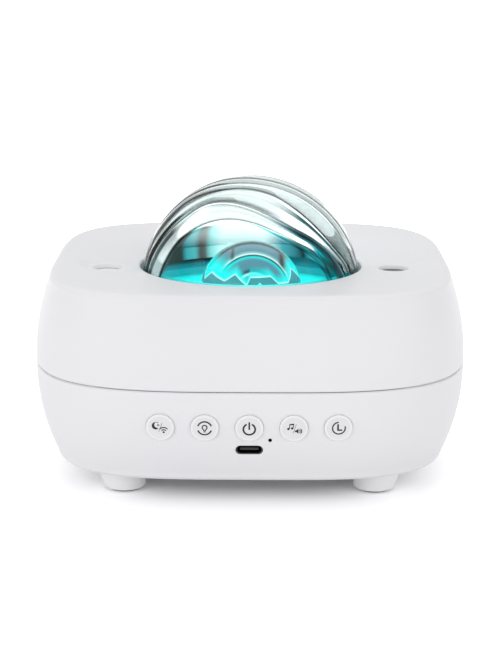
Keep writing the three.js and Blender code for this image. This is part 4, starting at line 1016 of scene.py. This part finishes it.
def clear_dome_material():
    """Clear acrylic with painted reflections and shade: grey and teal bands in its ripples, and patches of
    colour round its foot.
    """
    m = Nodes("clear_dome")
    band = m.add("ShaderNodeAttribute", attribute_name="band").outputs["Fac"]
    x, y, z = m.place()
    middle, right, left = (band_colors(m, band, stops) for stops in (MIDDLE_BANDS, RIGHT_BANDS, LEFT_BANDS))
    tone = m.mix(m.smooth(x, 4.0, 18.0), middle, right)
    # A painted dark reflection at the far left, in the first ripple
    patch = m.times(m.smooth(band, 0.5, 0.58), m.smooth(band, 0.92, 0.86))
    patch = m.times(patch, m.smooth(x, -25.0, -28.0))
    tone = m.mix(m.smooth(x, -13.0, -26.0), tone, m.mix(patch, left, PATCH_DARK_REFLECTION))
    # A teal edge round the window, a painted reflection of the lit inside, which widens to the right
    edge = m.plus(m.times(m.smooth(x, -10.0, 22.0), -0.18), -0.02)
    teal = m.times(m.math("GREATER_THAN", band, edge), m.math("LESS_THAN", band, -0.03))
    tone = m.mix(teal, tone, WINDOW_TEAL_REFLECTION)
    # Clear behind, with the painted light of the foot below
    tone = m.mix(m.smooth(y, 4.0, 16.0), tone, CLEAR)
    top = m.minus(z, m.smooth(x, -10.0, -20.0, 0.0, 4.0))
    fade = m.times(m.smooth(top, 75.0, 78.5, 1.0, 0.0), m.smooth(y, 8.0, 18.0))
    m.link(m.mix(fade, tone, rim_painted_light(m, x, y)), m.shader.inputs["Base Color"])
    # A painted white sheen, a painted highlight given off as light, low at the back and in the first ripple
    # at the left
    back = m.times(m.near(z, 76.0, 6.0), m.smooth(y, 20.0, 32.0))
    sheen = m.times(m.smooth(band, 0.07, 0.15), m.smooth(band, 0.98, 0.88))
    sheen = m.times(sheen, m.times(m.smooth(x, -13.0, -19.0), m.smooth(y, 2.0, -6.0)))
    sheen = m.times(sheen, m.minus(1.0, patch))
    light = m.math("MAXIMUM", m.times(back, SHEEN_BACK), m.times(sheen, SHEEN_LEFT))
    m.link(light, m.shader.inputs["Emission Strength"])
    m.set(emission_color=SHEEN_COLOR, roughness=0.0, ior=1.25, transmission_weight=1.0)
    m.set(specular_tint=(0.3, 0.3, 0.3, 1.0))
    return m.made


# Painted light round the dome's foot, reflections and cyan glow, by shares of a turn that goes from the
# front over the left to the back
RIM_LIGHT_PATCHES = (
    (0.0, (0.15, 0.9, 0.88)), (0.14, (0.02, 0.5, 0.52)), (0.19, (0.008, 0.02, 0.02)),
    (0.27, (0.01, 0.05, 0.05)), (0.32, (0.005, 0.04, 0.05)), (0.335, (0.006, 0.006, 0.006)),
    (0.378, (0.012, 0.007, 0.005)), (0.388, (0.04, 0.36, 0.4)), (0.404, (0.1, 0.42, 0.45)),
    (0.412, (0.07, 0.06, 0.06)), (0.422, (0.12, 0.11, 0.11)), (0.432, (0.25, 0.68, 0.68)),
    (0.452, (0.7, 0.95, 0.95)), (0.52, (0.8, 0.98, 0.98)), (0.55, (0.07, 0.36, 0.43)),
    (0.575, (0.03, 0.18, 0.21)), (0.59, (0.004, 0.02, 0.025)), (0.605, (0.05, 0.36, 0.42)),
    (0.65, (0.0, 0.42, 0.48)), (0.67, (0.005, 0.02, 0.02)), (0.7, (0.0, 0.12, 0.14)),
    (0.74, (0.008, 0.02, 0.02)), (0.8, (0.01, 0.05, 0.05)), (0.86, (0.02, 0.5, 0.52)),
    (1.0, (0.15, 0.9, 0.88)),
)


def rim_painted_light(m, x, y):
    """Painted light that goes round the foot of the dome: reflections in teal, brown and black, and cyan
    light.
    """
    turn = m.math("DIVIDE", m.math("ARCTAN2", x, y), TAU)
    drift = m.times(m.minus(m.noise(60.0, 2.0), 0.5), 0.012)
    return m.ramp(m.plus(turn, m.plus(drift, 0.5)), RIM_LIGHT_PATCHES)


def skirt_material():
    """The foot of the dome, down in its hole: painted reflections above a dark line of painted shadow, and
    painted cyan light below it.
    """
    m = Nodes("dome_skirt")
    x, y, z = m.place()
    low = m.ramp(m.smooth(z, 62.6, 65.4), [(0.0, (0.0, 0.22, 0.27)), (1.0, (0.0, 0.1, 0.13))])
    # A dark line of painted shadow round the back left of the foot
    line = m.times(m.smooth(x, 4.0, -4.0), m.smooth(y, -6.0, 4.0))
    low = m.mix(m.times(m.near(z, 65.6, 1.7), line), low, (0.004, 0.004, 0.004))
    front = m.smooth(y, 0.0, -16.0)
    color = m.mix(m.math("MAXIMUM", m.smooth(z, 65.7, 66.3), front), low, rim_painted_light(m, x, y))
    m.glow(color)
    m.set(roughness=0.2, specular_ior_level=0.2)
    return m.made


# Colours of the bowl, outwards: the LED's cyan light on it, painted as glow
BOWL_GLOW_CYANS = (
    (0.0, (0.0, 0.75, 0.75)), (0.3, (0.0, 0.98, 0.92)), (0.8, (0.0, 1.0, 0.92)), (1.0, (0.0, 0.5, 0.54)),
)


def reflector_material():
    """The cyan bowl round the turning dome, whose light from the LED is painted as glow."""
    m = Nodes("reflector_cyan")
    x, y, z = m.place()
    m.glow(m.ramp(m.smooth(reach_of(m, x, y), 20.0, 40.0), BOWL_GLOW_CYANS))
    m.set(roughness=0.3)
    return m.made


def clamp_ring_material():
    """Black moulded plastic, with the LED's cyan light on its inner wall painted as glow."""
    m = Nodes("clamp_ring")
    x, y, z = m.place()
    inner = m.smooth(reach_of(m, x, y), 38.3, 38.6, 1.0, 0.0)
    m.glow(m.mix(inner, BLACK, (0.0, 0.33, 0.38)))
    m.link(m.mix(inner, (0.015, 0.016, 0.017), (0.0, 0.12, 0.13)), m.shader.inputs["Base Color"])
    m.set(roughness=0.4)
    return m.made


def glowing_emitter():
    """The lit face of the LED."""
    m = Nodes("emitter")
    m.glow(m.ramp(m.noise(40.0, 1.0), [(0.3, (0.45, 1.0, 0.95)), (0.7, (0.6, 1.0, 0.97))]), 1.0)
    return m.made


# Colours of the turning dome, by how far a point faces the front: painted glow and reflections, with a dark
# crease under a painted highlight
INNER_BANDS = (
    (0.0, (0.04, 0.2, 0.21)), (0.24, (0.06, 0.24, 0.25)), (0.3, (0.02, 0.04, 0.045)),
    (0.35, (0.02, 0.03, 0.03)), (0.42, (0.12, 0.26, 0.32)), (0.6, (0.12, 0.24, 0.31)),
    (0.65, (0.25, 0.48, 0.5)), (0.685, (0.75, 0.95, 0.95)), (0.7, (0.02, 0.06, 0.07)),
    (0.715, (0.02, 0.1, 0.12)), (0.735, (0.0, 0.72, 0.72)), (0.78, (0.1, 0.26, 0.34)),
    (0.88, (0.09, 0.26, 0.33)), (0.915, (0.01, 0.06, 0.08)), (0.93, (0.5, 0.88, 0.88)),
    (0.945, (0.06, 0.3, 0.35)), (1.0, (0.05, 0.28, 0.33)),
)
# The peaks and dips round the turning dome's foot: degrees to the right of the front, and heights
PEAKS = (
    (-180, 70), (-163, 66), (-148, 70), (-133, 66), (-118, 70), (-103, 66), (-88, 70), (-72, 65.8),
    (-59, 68.8), (-33, 67), (-20, 69.5), (-4, 66), (0, 68.6), (26, 68.6), (34, 66), (50, 65.7),
    (66, 69.8), (82, 65.7), (97, 70), (112, 66), (128, 70), (146, 66), (163, 70), (180, 70),
)
PEAK_Z = 64.0
PEAK_SPAN = 8.0


def inner_dome_material():
    """The turning dome, lit from inside by painted light: grey over cyan glow, a dark crease under a
    painted highlight, and teal peaks round its foot.
    """
    m = Nodes("inner_dome_glow")
    x, y, z = m.place()
    along = (m.times(x, 0.06), m.times(y, -0.97))
    lift = m.times(m.minus(z, INNER_Z), 0.21)
    facing = m.math("DIVIDE", m.plus(m.plus(*along), lift), INNER_RADIUS)
    color = m.ramp(m.span(facing, 0.0, 1.0), INNER_BANDS)
    # Painted cyan light low at both sides
    sides = m.math("MAXIMUM", m.smooth(x, -3.0, -12.0), m.smooth(x, 9.0, 16.0))
    color = m.mix(m.times(sides, m.smooth(z, 75.5, 71.0)), color, (0.0, 0.8, 0.8))
    # Two brown streaks
    brown = m.math("MAXIMUM", m.near(x, 11.0, 1.8), m.times(m.near(x, -6.5, 1.2), 0.8))
    brown = m.times(brown, m.smooth(facing, 0.7, 0.64))
    brown = m.times(brown, m.smooth(facing, 0.3, 0.45))
    color = m.mix(brown, color, (0.05, 0.035, 0.03))
    # The peaks: painted cyan light above them, a pale edge and teal below
    turn = m.plus(m.math("DIVIDE", m.math("ARCTAN2", x, m.times(y, -1.0)), TAU), 0.5)
    stops = [(angle / 360 + 0.5, ((height - PEAK_Z) / PEAK_SPAN,) * 3) for angle, height in PEAKS]
    peak = m.plus(m.times(m.ramp(turn, stops), PEAK_SPAN), PEAK_Z)
    above = m.minus(z, peak)
    color = m.mix(m.smooth(above, 0.6, 4.0, 0.8, 0.0), color, (0.0, 0.92, 0.9))
    color = m.mix(m.smooth(above, 0.9, 0.2, 0.0, 0.9), color, (0.5, 0.98, 0.95))
    color = m.mix(m.smooth(above, 0.08, -0.08), color, (0.05, 0.3, 0.34))
    m.glow(color)
    m.set(roughness=0.2, specular_ior_level=0.3)
    return m.made


def inner_dome():
    """The turning dome, with the flange that its gear carries."""
    low, flange = INNER_BOX[0][2], INNER_BOX[1][0]
    high = low + INNER_FLANGE
    inner = INNER_RADIUS - INNER_WALL
    profile = [(inner, low), (flange, low), (flange, high), (INNER_RADIUS - 0.6, high)]
    profile += arc((0, INNER_Z), INNER_RADIUS, 0, 90, 64)[:-1] + [(0, INNER_Z + INNER_RADIUS)]
    profile += [(0, INNER_Z + inner)] + arc((0, INNER_Z), inner, 90, 0, 32)[1:]
    return new_object("turning_dome", lathe(profile, BOWL_SEGMENTS), [inner_dome_material()])


def reflector_bowl():
    """The lit bowl, which rises in a curve from the turning dome to the outer one."""
    outer, high = BOWL_BOX[1][0], BOWL_BOX[1][2]
    low = BOWL_BOX[0][2] + BOWL_THICK
    inner = INNER_RADIUS + BOWL_GAP
    profile = []
    for i in range(BOWL_STEPS + 1):
        share = i / BOWL_STEPS
        profile.append((inner + (BOWL_KNEE - inner) * share, low + (high - low) * share ** BOWL_POWER))
    profile += [(outer, high), (outer, high - BOWL_THICK), (BOWL_KNEE, high - BOWL_THICK)]
    bm = lathe(profile + [(inner, low - BOWL_THICK)], BOWL_SEGMENTS)
    return new_object("cyan_bowl", bm, [reflector_material()])


def keep(obj, body, *nodes, slot=None):
    """Says what a piece rides on and what it stands for. Its slot, the finish, is not used."""
    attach(obj, body)
    if nodes:
        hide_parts(*nodes)
    return obj


keep(upper_case(), "case", "upper_shell", slot="shell")
keep(lower_case(), "case", "lower_shell", slot="shell")
SIGNS = {
    "wireless": night_and_radio_sign(), "colour": bulb_sign(), "power": power_sign(),
    "sound": sound_sign(), "timer": clock_sign(),
}
for i, name in enumerate(BUTTON_NAMES):
    keep(button_cap(i), name + "_key", name + "_button", slot="button_cap")
    keep(button_sign(i, SIGNS[name]), name + "_key")
CORNERS = {"front_left": (-1, -1), "front_right": (1, -1), "rear_left": (-1, 1), "rear_right": (1, 1)}
for place, (side_x, side_y) in CORNERS.items():
    keep(foot(place, side_x, side_y), "case", "foot_" + place, slot="shell")
    keep(foot_pad(place, side_x, side_y), "case", "foot_pad_" + place, slot="pad_rubber")
dome = keep(dome_lens([clear_dome_material(), skirt_material()]), "case", "dome_lens", slot="clear_dome")
dome.visible_shadow = False
keep(inner_dome(), "ripple_rotor", "inner_dome", slot="inner_dome")
keep(reflector_bowl(), "case", "reflector_bowl", slot="reflector")

# The finishes of the CAD nodes that stay, and what the names of those nodes start or end with
FINISHES = (
    (metal("steel", (0.62, 0.63, 0.65), 0.3), "clamp_screw case_screw board_screw motor_body"),
    (metal("aluminium", (0.75, 0.76, 0.78), 0.38), "heat_sink"),
    (metal("socket_dark", (0.07, 0.07, 0.075), 0.25), "usb_socket_shell"),
    (moulded("black_plastic", (0.02, 0.02, 0.022), (0.012, 0.012, 0.014), 0.45),
     "optics_deck laser_barrel usb_tongue switch_plunger"),
    (moulded("nylon", (0.8, 0.78, 0.7), (0.72, 0.7, 0.62), 0.45), "motor_pinion rotor_gear"),
    (moulded("lead_white", (0.75, 0.75, 0.76), (0.66, 0.66, 0.68), 0.5),
     "laser_cable speaker_cable led_cable motor_cable control_ribbon"),
    (moulded("magnet_dark", (0.09, 0.09, 0.1), (0.05, 0.05, 0.055), 0.6), "speaker_basket speaker_magnet"),
    (moulded("cone_paper", (0.03, 0.03, 0.032), (0.015, 0.015, 0.017), 0.85, grain=300.0, bump=0.5),
     "speaker_cone"),
    (moulded("foam_dark", (0.05, 0.05, 0.055), (0.02, 0.02, 0.022), 0.95, grain=250.0, bump=0.6),
     "speaker_gasket"),
    (moulded("mesh_black", (0.012, 0.012, 0.013), (0.006, 0.006, 0.007), 0.8, grain=500.0, bump=0.4),
     "microphone"),
    (moulded("board_green", (0.02, 0.16, 0.08), (0.012, 0.1, 0.05), 0.35), "main_board control_board"),
    (moulded("board_white", (0.8, 0.8, 0.78), (0.7, 0.7, 0.68), 0.4), "led_board"),
    # Painted reflection: the left laser window is painted pale, though it is the same window as the dark
    # one on the right
    (moulded("window_pale_reflection", (0.88, 0.88, 0.89), (0.86, 0.86, 0.87), 0.35, bump=0.0), "laser_window_left"),
    (moulded("window_smoke", (0.13, 0.13, 0.135), (0.1, 0.1, 0.105), 0.15, bump=0.0, specular=0.5),
     "laser_window_right"),
    (clamp_ring_material(), "dome_clamp_ring"),
    (glowing_emitter(), "led_emitter"),
)
for node, obj in frame["nodes"].items():
    for material, parts in FINISHES:
        if any(node.startswith(part) or node.endswith(part) for part in parts.split()):
            obj.data.materials.clear()
            obj.data.materials.append(material)


def camera():
    """The photograph's camera: in front of the object and a little above it, with its lens offset."""
    elevation, turn, roll = (math.radians(angle) for angle in (CAMERA_ELEVATION, CAMERA_TURN, CAMERA_ROLL))
    data = bpy.data.cameras.new("camera")
    data.sensor_width = SENSOR_WIDTH
    data.lens = FOCAL_PIXELS * SENSOR_WIDTH / PICTURE_HIGH
    data.shift_x = (PICTURE_WIDE / 2 - LENS_X) / PICTURE_HIGH
    data.shift_y = (LENS_Y - PICTURE_HIGH / 2) / PICTURE_HIGH
    obj = linked("camera", data)
    away = CAMERA_DISTANCE * math.cos(elevation)
    height = CAMERA_AIM_Z + CAMERA_DISTANCE * math.sin(elevation)
    obj.location = Vector((away * math.sin(turn), -away * math.cos(turn), height)) * MM
    aim = Matrix.Rotation(turn, 3, "Z") @ Matrix.Rotation(math.pi / 2 - elevation, 3, "X")
    obj.rotation_euler = (aim @ Matrix.Rotation(roll, 3, "Z")).to_euler()
    bpy.context.scene.camera = obj


def floor():
    """A white floor, lifted where the camera sees it: near the object by painted light that cuts its shadow
    short, and further out so that it meets the white backdrop.
    """
    bm = bmesh.new()
    bmesh.ops.create_circle(bm, cap_ends=True, segments=96, radius=FLOOR_RADIUS)
    m = Nodes("floor_white")
    m.set(base_color=(0.9, 0.9, 0.905, 1.0), roughness=0.95, specular_ior_level=0.0)
    x, y, z = m.place()
    fourth = [m.math("POWER", m.math("ABSOLUTE", value), 4.0) for value in (x, y)]
    reach = m.math("POWER", m.plus(*fourth), 0.25)
    near = m.smooth(reach, *NEAR_REACH, 0.0, NEAR_PAINTED_LIGHT)
    far = m.smooth(reach, *FAR_REACH, 0.0, FAR_LIFT)
    glow = m.add("ShaderNodeEmission", in_color=(1.0, 1.0, 1.0, 1.0))
    m.link(m.plus(near, far), glow.inputs["Strength"])
    none = m.add("ShaderNodeEmission", in_strength=0.0)
    both = m.add("ShaderNodeAddShader")
    m.link(m.shader.outputs[0], both.inputs[0])
    m.link(m.where_seen(none, glow), both.inputs[1])
    m.link(both.outputs[0], m.tree.nodes["Material Output"].inputs["Surface"])
    new_object("floor", bm, [m.made], smooth=False)


def area_light(name, place, aim, size, watts):
    data = bpy.data.lights.new(name, "AREA")
    data.shape = "RECTANGLE"
    data.size, data.size_y = size
    data.energy = watts
    obj = linked(name, data)
    obj.location = place
    obj.rotation_euler = (Vector(aim) - Vector(place)).to_track_quat("-Z", "Y").to_euler()


def world():
    """A white backdrop, and a softer light that falls on the object."""
    m = Nodes("studio", bpy.data.worlds)
    m.tree.nodes.clear()
    white = m.add("ShaderNodeBackground", in_color=(1, 1, 1, 1))
    light = m.add("ShaderNodeBackground", in_color=WORLD_TINT, in_strength=WORLD_LIGHT)
    out = m.add("ShaderNodeOutputWorld")
    m.link(m.where_seen(light, white), out.inputs["Surface"])
    bpy.context.scene.world = m.made


camera()
floor()
world()
for name, (place, aim, size, watts) in LAMPS.items():
    area_light(name, place, aim, size, watts)
bpy.context.scene.view_settings.view_transform = "Standard"
